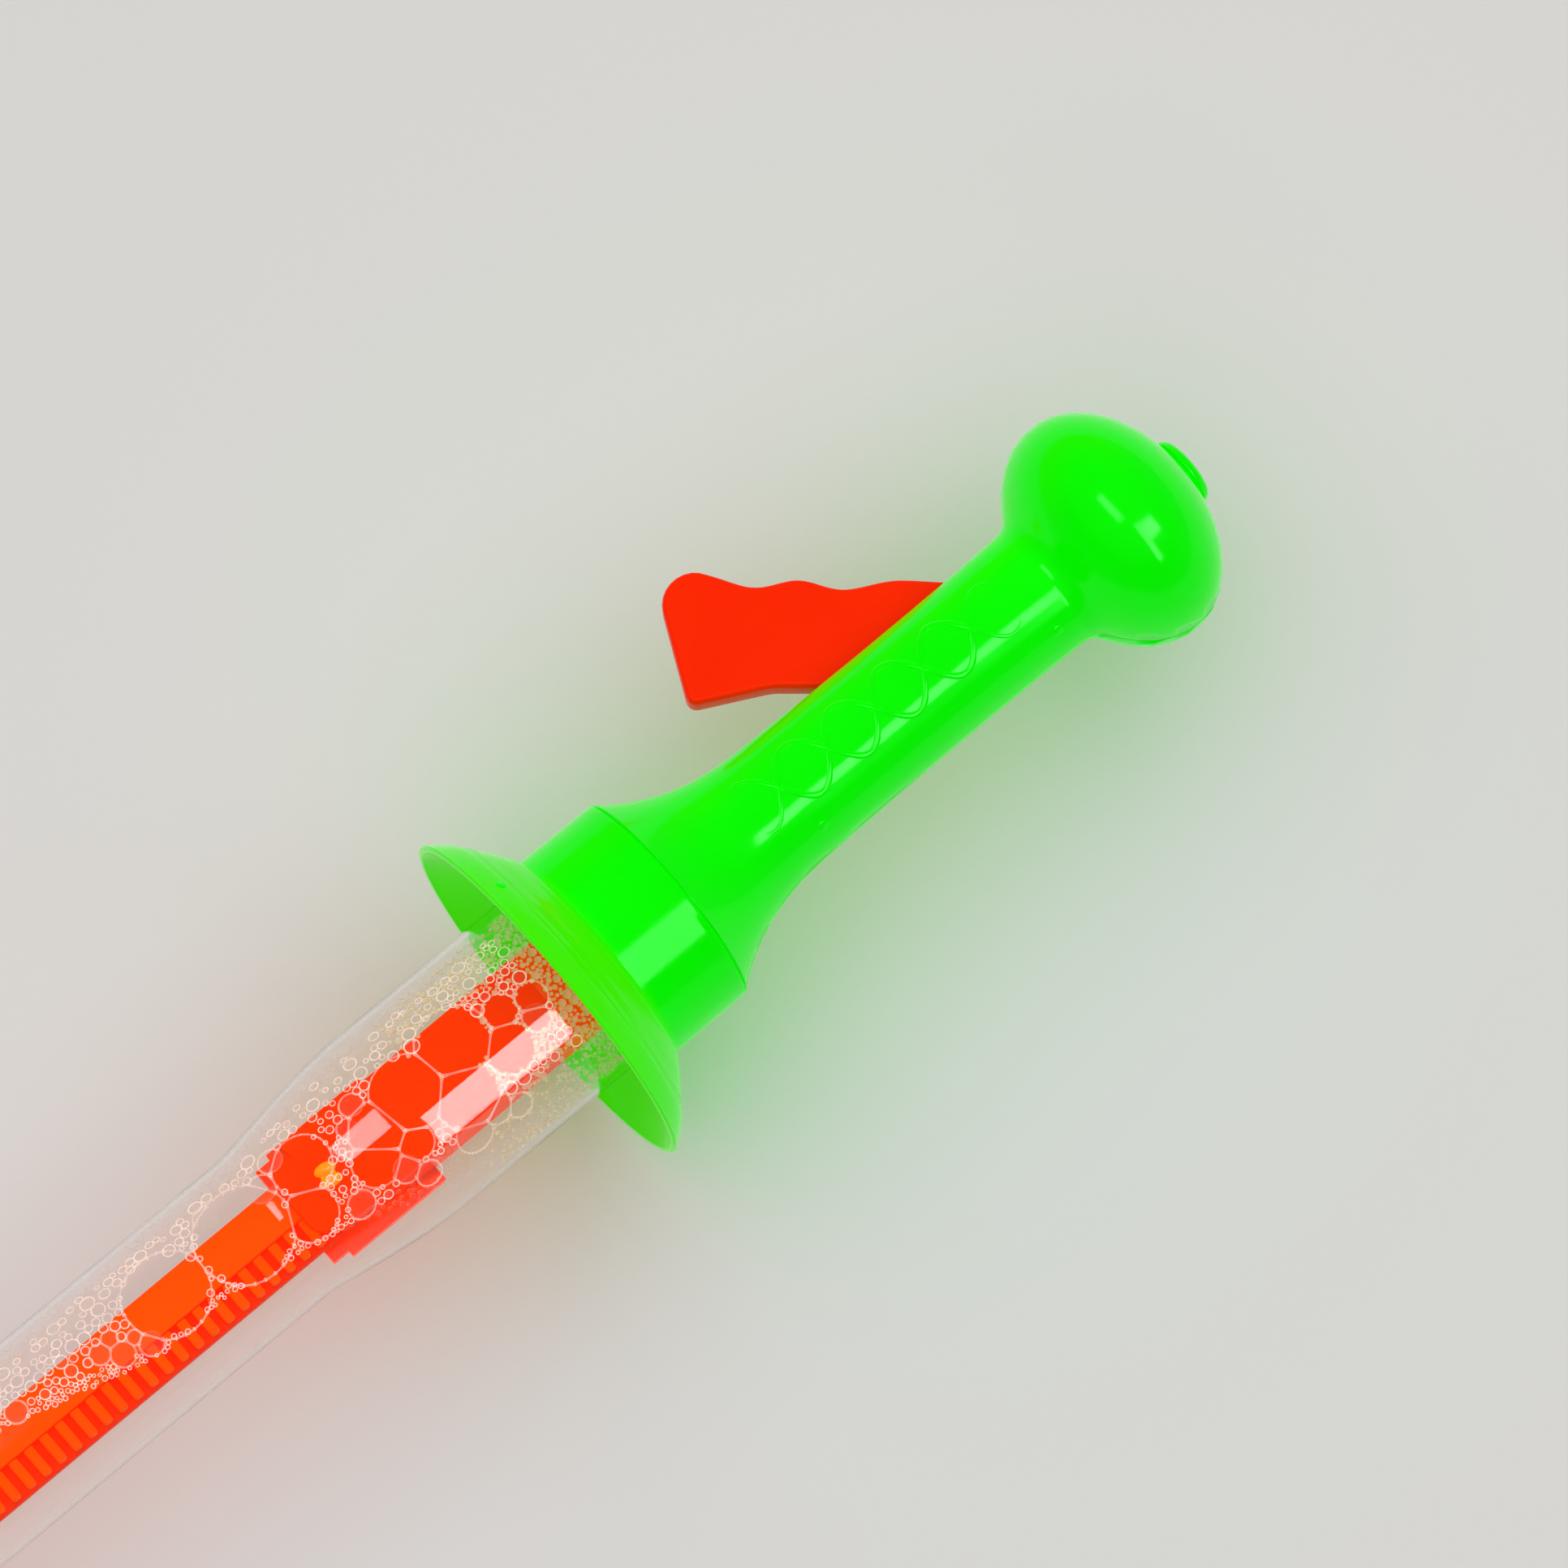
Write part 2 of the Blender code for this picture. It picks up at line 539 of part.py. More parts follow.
points = list(spring_points())
least = min((points[i] - points[j]).length for i in range(len(points)) for j in range(i + 5, len(points)))
print("spring: least gap to itself %.2f mm" % ((least - 2 * SPRING_WIRE_RADIUS) * 1000))
wire = bpy.data.curves.new("return_spring", 'CURVE')
wire.dimensions = '3D'
wire.bevel_depth = SPRING_WIRE_RADIUS
wire.bevel_resolution = 1
wire.use_fill_caps = True
line = wire.splines.new('POLY')
line.points.add(len(points) - 1)
for point, place in zip(line.points, points):
    point.co = (*place, 1.0)
wire.materials.append(steel)
return_spring = bpy.data.objects.new("return_spring", wire)
return_spring.location = (x_spring, ROD_Y, z_rod)
bpy.context.scene.collection.objects.link(return_spring)

# Handle shells: two halves of one turned form, parted at Z = 0 through the trigger's slot

def handle_profile(flare_steps, pommel_steps):
    grip_end = GRIP_RADIUS + GRIP_WAIST
    mouth = collar_radius - COLLAR_DRAFT
    points = []
    for k in range(flare_steps + 1):
        u = 1 - cos(pi / 2 * k / flare_steps)
        points.append((x_handle + FLARE_LENGTH * u, grip_end + (mouth - grip_end) * (1 - u) ** FLARE_POWER))
    for k in range(1, 5):
        v = k / 2.5 - 1
        points.append((x_grip + GRIP_LENGTH * k / 5, GRIP_RADIUS + GRIP_WAIST * v * v))
    begin = asin(grip_end / POMMEL_RADIUS)
    end = pi - asin(POMMEL_BORE / POMMEL_RADIUS)
    centre = x_pommel + POMMEL_FRONT * cos(begin)

    def ball(a):
        length = POMMEL_FRONT if a < pi / 2 else POMMEL_BACK
        return centre - length * cos(a), POMMEL_RADIUS * sin(a)

    # the fillet leaves the grip one length before the corner and meets the ball beyond it
    meet = begin + POMMEL_FILLET / (POMMEL_FRONT * sin(begin)) / 2
    (x0, r0), (x1, r1), (x2, r2) = (x_pommel - POMMEL_FILLET, grip_end), (x_pommel, grip_end), ball(meet)
    for k in range(4):
        u = k / 4
        points.append(((1 - u) ** 2 * x0 + 2 * u * (1 - u) * x1 + u * u * x2,
                       (1 - u) ** 2 * r0 + 2 * u * (1 - u) * r1 + u * u * r2))
    for k in range(pommel_steps + 1):
        points.append(ball(meet + (end - meet) * k / pommel_steps))
    return points


def inset(points, depth):
    moved = []
    for i, (x, r) in enumerate(points):
        before, after = points[max(i - 1, 0)], points[min(i + 1, len(points) - 1)]
        tx, tr = after[0] - before[0], after[1] - before[1]
        length = sqrt(tx * tx + tr * tr)
        moved.append((x + depth * tr / length, r - depth * tx / length))
    return moved


def radius_at(points, x):
    for (x0, r0), (x1, r1) in zip(points, points[1:]):
        if x0 <= x <= x1:
            return r0 + (r1 - r0) * (x - x0) / (x1 - x0)
    return points[0][1] if x < points[0][0] else points[-1][1]


skin = handle_profile(10, 12)
lining = inset(handle_profile(6, 7), SHELL_WALL)
x_retainer = x_root_back + FIT
x_retainer_back = x_retainer + RETAINER_THICKNESS
spigot_inside = flange_radius - SHELL_WALL
x_end = skin[-1][0]
hollow = [(x, r) for x, r in lining if x > x_retainer_back + FIT and r > POMMEL_BORE + FIT]
shell = ([(x_flange_back + FIT, flange_radius), (x_handle, flange_radius)] + skin
         + [(lining[-1][0], POMMEL_BORE)] + hollow[::-1]
         + [(x_retainer_back, radius_at(lining, x_retainer_back)), (x_retainer_back, RETAINER_RADIUS),
            (x_retainer, RETAINER_RADIUS), (x_retainer, spigot_inside), (x_flange_back + FIT, spigot_inside)])
handle_upper = half_turned("handle_upper_shell", shell, green, 1)
handle_lower = half_turned("handle_lower_shell", shell, green, -1)

# Bosses reach into the shells' wall and no further: a form half a wall inside the skin

core = inset(skin, SHELL_WALL / 2)
core = [(x, r) for x, r in core if r > POMMEL_BORE]
envelope = turned("boss_envelope", [(core[0][0], 0.0)] + core + [(core[-1][0], 0.0)], helper=True)
boss_radius = SCREW_RADIUS + FIT + BOSS_WALL
boss_y = radius_at(lining, x_grip) - boss_radius - BOSS_WALL / 3
flare_y = radius_at(lining, x_bulkhead - SPRING_LENGTH) - boss_radius - SHELL_WALL
screw_places = [(x_bulkhead + BULKHEAD + 4 * boss_radius, -boss_y), (x_pommel - boss_radius, -boss_y),
                (x_pommel - boss_radius / 2, boss_y), (x_bulkhead - SPRING_LENGTH + boss_radius, flare_y)]
trigger_half = TRIGGER_THICKNESS / 2


def bosses(name, up):
    bm = bmesh.new()
    for x, y in screw_places:
        add_rod(bm, (x, y, up * FIT / 2), (x, y, up * POMMEL_RADIUS), boss_radius)
    add_rod(bm, (x_pivot, TRIGGER_PIVOT_Y, up * (trigger_half + FIT)),
            (x_pivot, TRIGGER_PIVOT_Y, up * POMMEL_RADIUS), PIVOT_PIN_RADIUS + FIT + BOSS_WALL)
    if up < 0:
        add_box(bm, (x_bulkhead, -POMMEL_RADIUS, -POMMEL_RADIUS),
                (x_bulkhead + BULKHEAD, ROD_Y + SPRING_RADIUS + FIT, z_rod + SPRING_RADIUS))
    made = finish(name, bm, None, helper=True)
    boolean(made, envelope, 'INTERSECT')
    return made


bm = bmesh.new()
add_rod(bm, (x_pivot, TRIGGER_PIVOT_Y, -PIVOT_PIN_HALF_LENGTH - FIT),
        (x_pivot, TRIGGER_PIVOT_Y, PIVOT_PIN_HALF_LENGTH + FIT), PIVOT_PIN_RADIUS + FIT / 2)
for x, y in screw_places:
    add_rod(bm, (x, y, -SCREW_SEAT - FIT), (x, y, SCREW_LENGTH - SCREW_SEAT + FIT), SCREW_RADIUS + FIT / 2)
shank_holes = finish("shank_holes", bm, None, helper=True)
bm = bmesh.new()
for x, y in screw_places:
    add_rod(bm, (x, y, -2 * POMMEL_RADIUS), (x, y, -SCREW_SEAT), SCREW_HEAD_RADIUS + FIT)
head_holes = finish("head_holes", bm, None, helper=True)
rod_gate = box("rod_gate", (x_bulkhead - FIT, ROD_Y - ROD_RADIUS - RUN, z_rod - ROD_RADIUS - RUN),
               (x_bulkhead + BULKHEAD + FIT, ROD_Y + ROD_RADIUS + RUN, POMMEL_RADIUS))

# Screws: four alike, driven up from under the lower shell

for number, (x, y) in enumerate(screw_places, 1):
    screw = upright("handle_screw_%d" % number, x, y, [
        (-SCREW_SEAT - SCREW_HEAD, SCREW_LENGTH - SCREW_SEAT, SCREW_RADIUS)], False, steel, 12)
    fuse(screw, upright("screw_head_%d" % number, x, y, [
        (-SCREW_SEAT - FIT / 2 - SCREW_HEAD, -SCREW_SEAT - FIT / 2, SCREW_HEAD_RADIUS)]))

# Trigger: a flat lever with two finger waves, a hub on the pivot and a lug over the rod

lug = Vector((x_drive - x_pivot, -lever)).normalized()
side = Vector((-lug.y, lug.x))
reach = lever / cos(half_travel) + LUG_HALF_WIDTH
lug_right = lug * reach + side * LUG_HALF_WIDTH
lug_left = lug * reach - side * LUG_HALF_WIDTH
lug_root = lug * (TRIGGER_THICKNESS - 0.001) - side * LUG_HALF_WIDTH
lever_corners = [
    (-0.0547, 0.0202, 0.0022),          # inner corner of the nose
    (-0.0400, 0.0502, 0.0068),          # nose
    (-0.0288, 0.0300, 0.0060),          # first finger
    (-0.0203, 0.0263, 0.0038),
    (-0.0160, 0.0184, 0.0060),          # second finger
    (-0.0064, 0.0136, 0.0050),
    (0.0050, 0.0025, 0.0035),           # hub
    (lug_right.x, lug_right.y, LUG_HALF_WIDTH * 0.95),
    (lug_left.x, lug_left.y, LUG_HALF_WIDTH * 0.95),
    (lug_root.x, lug_root.y, 0.003),
    (-0.0290, 0.0030, 0.012),           # inner edge
    (-0.0395, 0.0122, 0.012)]
lever_outline = rounded([(x_pivot + x, TRIGGER_PIVOT_Y + y, r) for x, y, r in lever_corners])
trigger = plate("trigger", lever_outline, -trigger_half, trigger_half, orange, (x_pivot, TRIGGER_PIVOT_Y, 0.0))
soften = trigger.modifiers.new("edges", 'BEVEL')
soften.width = TRIGGER_EDGE
soften.segments = 2
soften.limit_method = 'ANGLE'
soften.angle_limit = radians(60)
half_lap = box("half_lap", (x_pivot - lever, TRIGGER_PIVOT_Y - 2 * lever, -TRIGGER_THICKNESS),
               (x_pivot + lever, TRIGGER_PIVOT_Y - TRIGGER_THICKNESS + 0.001, z_rod + ROD_RADIUS + FIT))
bm = bmesh.new()
add_rod(bm, (x_drive, ROD_Y, -TRIGGER_THICKNESS), (x_drive, ROD_Y, TRIGGER_THICKNESS), DRIVE_PIN_RADIUS + RUN)
drive_slot = finish("drive_slot", bm, None, (x_drive, ROD_Y, 0.0), helper=True)
drive_slot.rotation_euler = (0.0, 0.0, lug.angle_signed(Vector((0.0, -1.0))))
drive_slot.scale = (1.0, 1.0 + (lever / cos(half_travel) - lever) / DRIVE_PIN_RADIUS, 1.0)
pivot_bore = upright("pivot_bore", x_pivot, TRIGGER_PIVOT_Y, [
    (-TRIGGER_THICKNESS, TRIGGER_THICKNESS, PIVOT_PIN_RADIUS + FIT)])
cut(trigger, half_lap, drive_slot, pivot_bore)
trigger_pin = upright("trigger_pivot_pin", x_pivot, TRIGGER_PIVOT_Y, [
    (-PIVOT_PIN_HALF_LENGTH, PIVOT_PIN_HALF_LENGTH, PIVOT_PIN_RADIUS)], False, steel)

# The slot leaves room for the lever over its whole travel

swept = []
for k in range(9):
    turn = Matrix.Rotation(radians(TRIGGER_TRAVEL) * k / 8, 2)
    for p in lever_outline:
        at = Vector((x_pivot, TRIGGER_PIVOT_Y)) + turn @ (p - Vector((x_pivot, TRIGGER_PIVOT_Y)))
        if 0 < at.y < collar_radius:
            swept.append(at.x)
slot_begin = min(swept) - 2 * RUN
slot_end = max(swept) + 2 * RUN
slot = box("trigger_slot", (slot_begin, 0.0, -trigger_half - FIT), (slot_end, 2 * POMMEL_RADIUS, trigger_half + FIT))
fuse(handle_upper, bosses("upper_bosses", 1))
cut(handle_upper, slot, shank_holes)
fuse(handle_lower, bosses("lower_bosses", -1))
cut(handle_lower, slot, shank_holes, head_holes, rod_gate)

# Pommel plug: the low domed button that pins the two halves together at the end.
# Its underside follows the ball.

ball_drop = POMMEL_BACK * (sqrt(1 - (POMMEL_BORE / POMMEL_RADIUS) ** 2) - sqrt(1 - (NUB_RADIUS / POMMEL_RADIUS) ** 2))
x_nub = x_end + FIT - ball_drop
x_top = x_end + FIT + NUB_THICKNESS
nub_dome = [(x_top - (x_top - x_nub - NUB_EDGE) * (1 - sin(pi / 2 * k / 5)), NUB_RADIUS - NUB_ROUND * (1 - cos(pi / 2 * k / 5)))
            for k in range(6)]
pommel_plug = turned("pommel_plug", [
    (x_end - NUB_SHANK, 0.0), (x_end - NUB_SHANK, POMMEL_BORE - FIT), (x_end + FIT, POMMEL_BORE - FIT),
    (x_nub, NUB_RADIUS)] + nub_dome + [(x_top, 0.0)], green, SIDES)

print("length %.1f mm, rod travel %.2f mm for %d degrees" % (
    x_top * 1000, rod_travel * 1000, TRIGGER_TRAVEL))
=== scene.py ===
from math import atan2, cos, exp, pi, radians, sin, sqrt, tan
import random
import bpy
import bmesh
from mathutils import Matrix, Vector


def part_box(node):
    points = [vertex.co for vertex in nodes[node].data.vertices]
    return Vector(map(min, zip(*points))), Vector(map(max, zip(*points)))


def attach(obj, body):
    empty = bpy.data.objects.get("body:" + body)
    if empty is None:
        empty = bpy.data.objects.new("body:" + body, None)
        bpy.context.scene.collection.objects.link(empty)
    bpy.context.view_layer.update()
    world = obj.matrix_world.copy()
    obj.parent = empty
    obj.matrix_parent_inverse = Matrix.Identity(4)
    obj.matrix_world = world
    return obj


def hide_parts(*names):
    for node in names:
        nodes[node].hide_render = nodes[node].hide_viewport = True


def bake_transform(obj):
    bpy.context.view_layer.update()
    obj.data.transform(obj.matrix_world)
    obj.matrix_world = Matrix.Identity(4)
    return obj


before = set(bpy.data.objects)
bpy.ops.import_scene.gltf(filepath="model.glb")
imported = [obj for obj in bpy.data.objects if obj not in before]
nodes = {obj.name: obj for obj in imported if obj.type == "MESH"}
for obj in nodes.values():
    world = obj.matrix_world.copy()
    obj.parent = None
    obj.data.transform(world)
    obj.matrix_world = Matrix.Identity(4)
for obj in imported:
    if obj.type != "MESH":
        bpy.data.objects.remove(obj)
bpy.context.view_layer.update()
scene = bpy.context.scene
print("frame loaded:", len(nodes), "solids")

# Camera: long lens, looking down on the wand from the tube side

cameraView = {
    "aim": (0.35475, 0.00289),   # along the wand, and across it toward the trigger
    "distance": 2.0,
    "tilt": 9.659,               # degrees off square, toward the tube
    "roll": 12.933,              # wand rolled, trigger side turned down
    "slant": 39.754,             # wand's slope in the picture
    "lens": 230.05,
    "sensor": 36.0,
    "clip": (0.05, 20),
    "frame": 1932,               # width and height of the picture
}

tilt, roll, slant = (radians(cameraView[k]) for k in ("tilt", "roll", "slant"))
alongX = Vector((1, 0, 0))
across = Vector((0, cos(roll), sin(roll)))    # toward the trigger, in the picture
upward = Vector((0, -sin(roll), cos(roll)))   # square to the wand, toward the viewer
viewDir = upward * cos(tilt) - alongX * sin(tilt)
wandDir = alongX * cos(tilt) + upward * sin(tilt)
camRight = wandDir * cos(slant) - across * sin(slant)
camUp = wandDir * sin(slant) + across * cos(slant)
camPlace = alongX * cameraView["aim"][0] + across * cameraView["aim"][1] + viewDir * cameraView["distance"]


def addThing(name, data):
    thing = bpy.data.objects.new(name, data)
    scene.collection.objects.link(thing)
    return thing


def standAt(place, right, up, back):
    return Matrix.Translation(place) @ Matrix((right, up, back)).transposed().to_4x4()


camData = bpy.data.cameras.new("photoCamera")
camData.lens, camData.sensor_width = cameraView["lens"], cameraView["sensor"]
camData.clip_start, camData.clip_end = cameraView["clip"]
camera = addThing("photoCamera", camData)
camera.matrix_world = standAt(camPlace, camRight, camUp, viewDir)
scene.camera = camera
scene.view_settings.view_transform = "Standard"
print("camera set")


# Shared surface effects, each built once and placed in the materials that need it

# noises: scale and detail, and the patches' roughness
skinLook = {"peel": (1500.0, 2.0), "flow": (70.0, 1.0), "patch": (45.0, 4.0, 0.6), "smoothest": 0.02,
            "reliefDistance": 0.0006}
# scratches: turn and stretch of each set
scuffLook = {"lean": (0.3, 0.2), "scratches": ((0.5, (40, 900, 300)), (-0.8, (60, 700, 500))),
             "noise": (1.0, 1.0), "threshold": 0.66, "contrast": 9.0, "roughens": 0.12}


def groupSockets(tree, ins, outs):
    for way, names in (("INPUT", ins), ("OUTPUT", outs)):
        for name in names:
            tree.interface.new_socket(name, in_out=way, socket_type="NodeSocketFloat")
    return tree.nodes.new("NodeGroupInput"), tree.nodes.new("NodeGroupOutput")


def connect(tree, socket, value):
    # another node's output is linked, a plain value is set
    if isinstance(value, bpy.types.NodeSocket):
        tree.links.new(value, socket)
    else:
        socket.default_value = (*value, 1) if socket.type == "RGBA" else value


def feed(tree, node, **values):
    # each value goes to the input of that name
    for key, value in values.items():
        connect(tree, node.inputs[key.replace("_", " ")], value)


def addNode(tree, kind, **values):
    # capitalised values are inputs, the others are settings of the node
    node = tree.nodes.new(kind)
    for key, value in values.items():
        if key[0].isupper():
            feed(tree, node, **{key: value})
        else:
            setattr(node, key, value)
    return node


def objectPlace(tree):
    return addNode(tree, "ShaderNodeTexCoord").outputs["Object"]


def mathNode(tree, operation, first, second, kind="ShaderNodeMath", result=0):
    node = addNode(tree, kind, operation=operation)
    connect(tree, node.inputs[0], first)
    connect(tree, node.inputs[1], second)
    return node.outputs[result]


def times(tree, first, second):
    return mathNode(tree, "MULTIPLY", first, second)


def mixColours(tree, factor, first, second):
    # a mix has its colours in sockets 6 and 7, and the mixed one in output 2
    node = addNode(tree, "ShaderNodeMix", data_type="RGBA")
    for slot, value in ((0, factor), (6, first), (7, second)):
        connect(tree, node.inputs[slot], value)
    return node.outputs[2]


def smoothRamp(tree, value, begin, end):
    return addNode(tree, "ShaderNodeMapRange", interpolation_type="SMOOTHSTEP", Value=value,
                   From_Min=begin, From_Max=end).outputs[0]


def addNoise(tree, where, scale, detail, roughness=0.5):
    return addNode(tree, "ShaderNodeTexNoise", Vector=where, Scale=scale, Detail=detail,
                   Roughness=roughness).outputs[0]


def makeMouldSkin():
    # moulded plastic: slow flow ripple, fine orange peel, patchy gloss
    look = skinLook
    tree = bpy.data.node_groups.new("mouldSkin", "ShaderNodeTree")
    gin, gout = groupSockets(tree, ("Peel", "Flow", "Gloss", "Patchy"), ("Height", "Roughness", "Patch"))
    where = objectPlace(tree)
    peel, flow, patch = (addNoise(tree, where, *look[key]) for key in ("peel", "flow", "patch"))
    fine = times(tree, peel, gin.outputs["Peel"])
    slow = times(tree, flow, gin.outputs["Flow"])
    centred = mathNode(tree, "SUBTRACT", patch, 0.5)
    uneven = times(tree, centred, gin.outputs["Patchy"])
    rough = mathNode(tree, "ADD", gin.outputs["Gloss"], uneven)
    feed(tree, gout, Height=mathNode(tree, "ADD", fine, slow), Patch=patch,
         Roughness=mathNode(tree, "MAXIMUM", rough, look["smoothest"]))
    return tree


def makeScuffs():
    # thin handling scratches, as a mask
    look = scuffLook
    tree = bpy.data.node_groups.new("handlingScuffs", "ShaderNodeTree")
    gin, gout = groupSockets(tree, ("Amount",), ("Mask",))
    where = objectPlace(tree)
    lines = []
    for turn, stretch in look["scratches"]:
        place = addNode(tree, "ShaderNodeMapping", Vector=where, Rotation=(*look["lean"], turn),
                        Scale=stretch)
        noise = addNoise(tree, place.outputs[0], *look["noise"])
        above = mathNode(tree, "SUBTRACT", noise, look["threshold"])
        lines.append(times(tree, above, look["contrast"]))
    both = mathNode(tree, "MAXIMUM", lines[0], lines[1])
    kept = times(tree, mathNode(tree, "MAXIMUM", both, 0.0), gin.outputs["Amount"])
    feed(tree, gout, Mask=mathNode(tree, "MINIMUM", kept, 1.0))
    return tree


mouldSkin = makeMouldSkin()
handlingScuffs = makeScuffs()


# Finishes

greenShine, orangeShine, stemShine = (0.3, 1.0, 0.38), (1.0, 0.25, 0.08), (1.0, 0.1, 0.02)
# another colour at the low end of one axis: painted shade, deeper between the ribs, and painted warm
# reflection, yellower on the bell
# each finish's glow is painted light of its own, brightening its colour in light and shade alike
plasticLook = {
    "neonGreen": {"colour": (0.002, 0.95, 0.0), "deep": (0.0015, 0.87, 0.0), "gloss": 0.12, "paintedGlow": 0.27,
                  "shine": greenShine},
    # painted warm reflection: the bell's face a yellower green than the collar
    "guardGreen": {"colour": (0.002, 0.93, 0.0), "deep": (0.0015, 0.85, 0.0), "gloss": 0.12, "paintedGlow": 0.27,
                   "shine": greenShine, "polish": 0.22, "paintedShadeAndReflection": ((0.05, 0.87, 0.0), "X", 0.3005, 0.3045)},
    "orangeRed": {"colour": (1.0, 0.020, 0.0), "deep": (0.96, 0.014, 0.0), "gloss": 0.3, "paintedGlow": 0.2,
                  "shine": orangeShine, "bump": 0.08},
    "stemOrange": {"colour": (1.0, 0.040, 0.0), "deep": (0.93, 0.030, 0.0), "gloss": 0.22, "paintedGlow": 0.42,
                   "shine": stemShine},
    "stripOrange": {"colour": (1.0, 0.092, 0.0), "deep": (0.95, 0.066, 0.0), "gloss": 0.34, "paintedGlow": 0.3,
                    # painted shade: a deeper red low between the ribs
                    "shine": stemShine, "bump": 0.1, "paintedShadeAndReflection": ((0.84, 0.026, 0.0), "Z", 0.0004, 0.002)},
    "amber": {"colour": (1.0, 0.36, 0.01), "deep": (0.9, 0.25, 0.0), "gloss": 0.25, "paintedGlow": 0.45},
    "sealRubber": {"name": "paleSealRubber", "colour": (0.72, 0.72, 0.68), "deep": (0.6, 0.6, 0.57),
                   "gloss": 0.55, "scuffs": 0.0},
}
plasticSkin, plasticIor = {"Peel": 0.25, "Flow": 0.6, "Patchy": 0.06}, 1.5
steelLook = {"skin": {"Gloss": 0.24, "Patchy": 0.2}, "dark": (0.5, 0.51, 0.53), "bright": (0.68, 0.69, 0.7)}
clearLook = {"skin": {"Peel": 0.0, "Flow": 1.0, "Gloss": 0.03, "Patchy": 0.03}, "bump": 0.04,
             "colour": (1.0, 0.975, 0.965), "ior": 1.33, "shadowClear": 0.98}
# bubble skins: opacity face on, opacity at the rim, how fast it rises, colour
skinsOfSoap = {
    "bubbleFilm": (0.03, 0.75, 2.6, (1.0, 0.88, 0.83)),
    "denseFroth": (0.5, 0.95, 1.4, (0.95, 0.84, 0.6)),
}
# the wet edges' glow is painted light of their own
soapLook = {"filmRoughness": 0.06, "edgeRoughness": 0.08, "beads": (420.0, 2.0), "paintedEdgeGlow": 0.35,
            "warmEdge": (1.0, 0.72, 0.62), "paleEdge": (1.0, 0.95, 0.92), "sidePower": 1.5, "sideShare": 0.4,
            "edges": {"wetFilmEdge": 0.25, "wetFrothEdge": 0.8}}


def newMaterial(name):
    made = bpy.data.materials.new(name)
    made.use_nodes = True
    return made, made.node_tree, made.node_tree.nodes["Principled BSDF"]


def addSkin(tree, **values):
    return addNode(tree, "ShaderNodeGroup", node_tree=mouldSkin, **values).outputs


def addRelief(tree, skin, strength):
    return addNode(tree, "ShaderNodeBump", Strength=strength, Distance=skinLook["reliefDistance"],
                   Height=skin["Height"]).outputs[0]


def facingPower(tree, power):
    facing = addNode(tree, "ShaderNodeLayerWeight", Blend=0.5).outputs["Facing"]
    return mathNode(tree, "POWER", facing, power)


def paintShadeAndReflection(tree, plain, colour, axis, begin, end):
    # the other colour below begin on that axis of the object, passing into the plain one at end; used for
    # painted shade and for painted reflected light
    split = addNode(tree, "ShaderNodeSeparateXYZ", Vector=objectPlace(tree))
    return mixColours(tree, smoothRamp(tree, split.outputs[axis], begin, end), colour, plain)


def mouldedPlastic(name, colour, deep, gloss, paintedGlow=0.0, shine=(1, 1, 1), bump=0.05, scuffs=0.25, polish=0.3,
                   paintedShadeAndReflection=None):
    made, tree, shader = newMaterial(name)
    skin = addSkin(tree, **plasticSkin, Gloss=gloss)
    worn = addNode(tree, "ShaderNodeGroup", node_tree=handlingScuffs, Amount=scuffs).outputs["Mask"]
    tint = mixColours(tree, skin["Patch"], deep, colour)
    if paintedShadeAndReflection:
        tint = paintShadeAndReflection(tree, tint, *paintedShadeAndReflection)
    dull = times(tree, worn, scuffLook["roughens"])
    feed(tree, shader, Base_Color=tint, Roughness=mathNode(tree, "ADD", skin["Roughness"], dull),
         Normal=addRelief(tree, skin, bump), IOR=plasticIor, Specular_IOR_Level=polish, Specular_Tint=shine)
    if paintedGlow:
        # painted glow: light of its own, standing for a bright fluorescent pigment and lifting the parts that
        # lie in shade
        feed(tree, shader, Emission_Color=tint, Emission_Strength=paintedGlow)
    return made


def brightSteel():
    look = steelLook
    made, tree, shader = newMaterial("brightSteel")
    skin = addSkin(tree, **look["skin"])
    tint = mixColours(tree, skin["Patch"], look["dark"], look["bright"])
    feed(tree, shader, Base_Color=tint, Roughness=skin["Roughness"], Metallic=1.0)
    return made


def clearTubePlastic():
    # blown clear plastic: light passes straight through to what is inside
    look = clearLook
    made, tree, shader = newMaterial("clearBlownPlastic")
    skin = addSkin(tree, **look["skin"])
    shadow = addNode(tree, "ShaderNodeLightPath").outputs["Is Shadow Ray"]
    clear = times(tree, shadow, look["shadowClear"])
    feed(tree, shader, Base_Color=look["colour"], Roughness=skin["Roughness"],
         Normal=addRelief(tree, skin, look["bump"]), Transmission_Weight=1.0, IOR=look["ior"],
         Alpha=mathNode(tree, "SUBTRACT", 1.0, clear))
    return made


def soapFilm(name, centre, edge, power, colour):
    # bubble skin: clearer face on than at its rim
    made, tree, shader = newMaterial(name)
    rim = times(tree, facingPower(tree, power), edge - centre)
    feed(tree, shader, Base_Color=colour, Roughness=soapLook["filmRoughness"],
         Alpha=mathNode(tree, "ADD", rim, centre))
    return made


def soapBorder(name, opacity):
    # the wet edges where films meet: beaded, more opaque along both sides, and brightened by a painted glow
    look = soapLook
    made, tree, shader = newMaterial(name)
    beads = addNoise(tree, objectPlace(tree), *look["beads"])
    tint = mixColours(tree, beads, look["warmEdge"], look["paleEdge"])
    side = times(tree, facingPower(tree, look["sidePower"]), look["sideShare"])
    beaded = times(tree, beads, opacity)
    feed(tree, shader, Base_Color=tint, Emission_Color=tint, Emission_Strength=look["paintedEdgeGlow"],
         Alpha=mathNode(tree, "ADD", side, beaded), Roughness=look["edgeRoughness"])
    return made


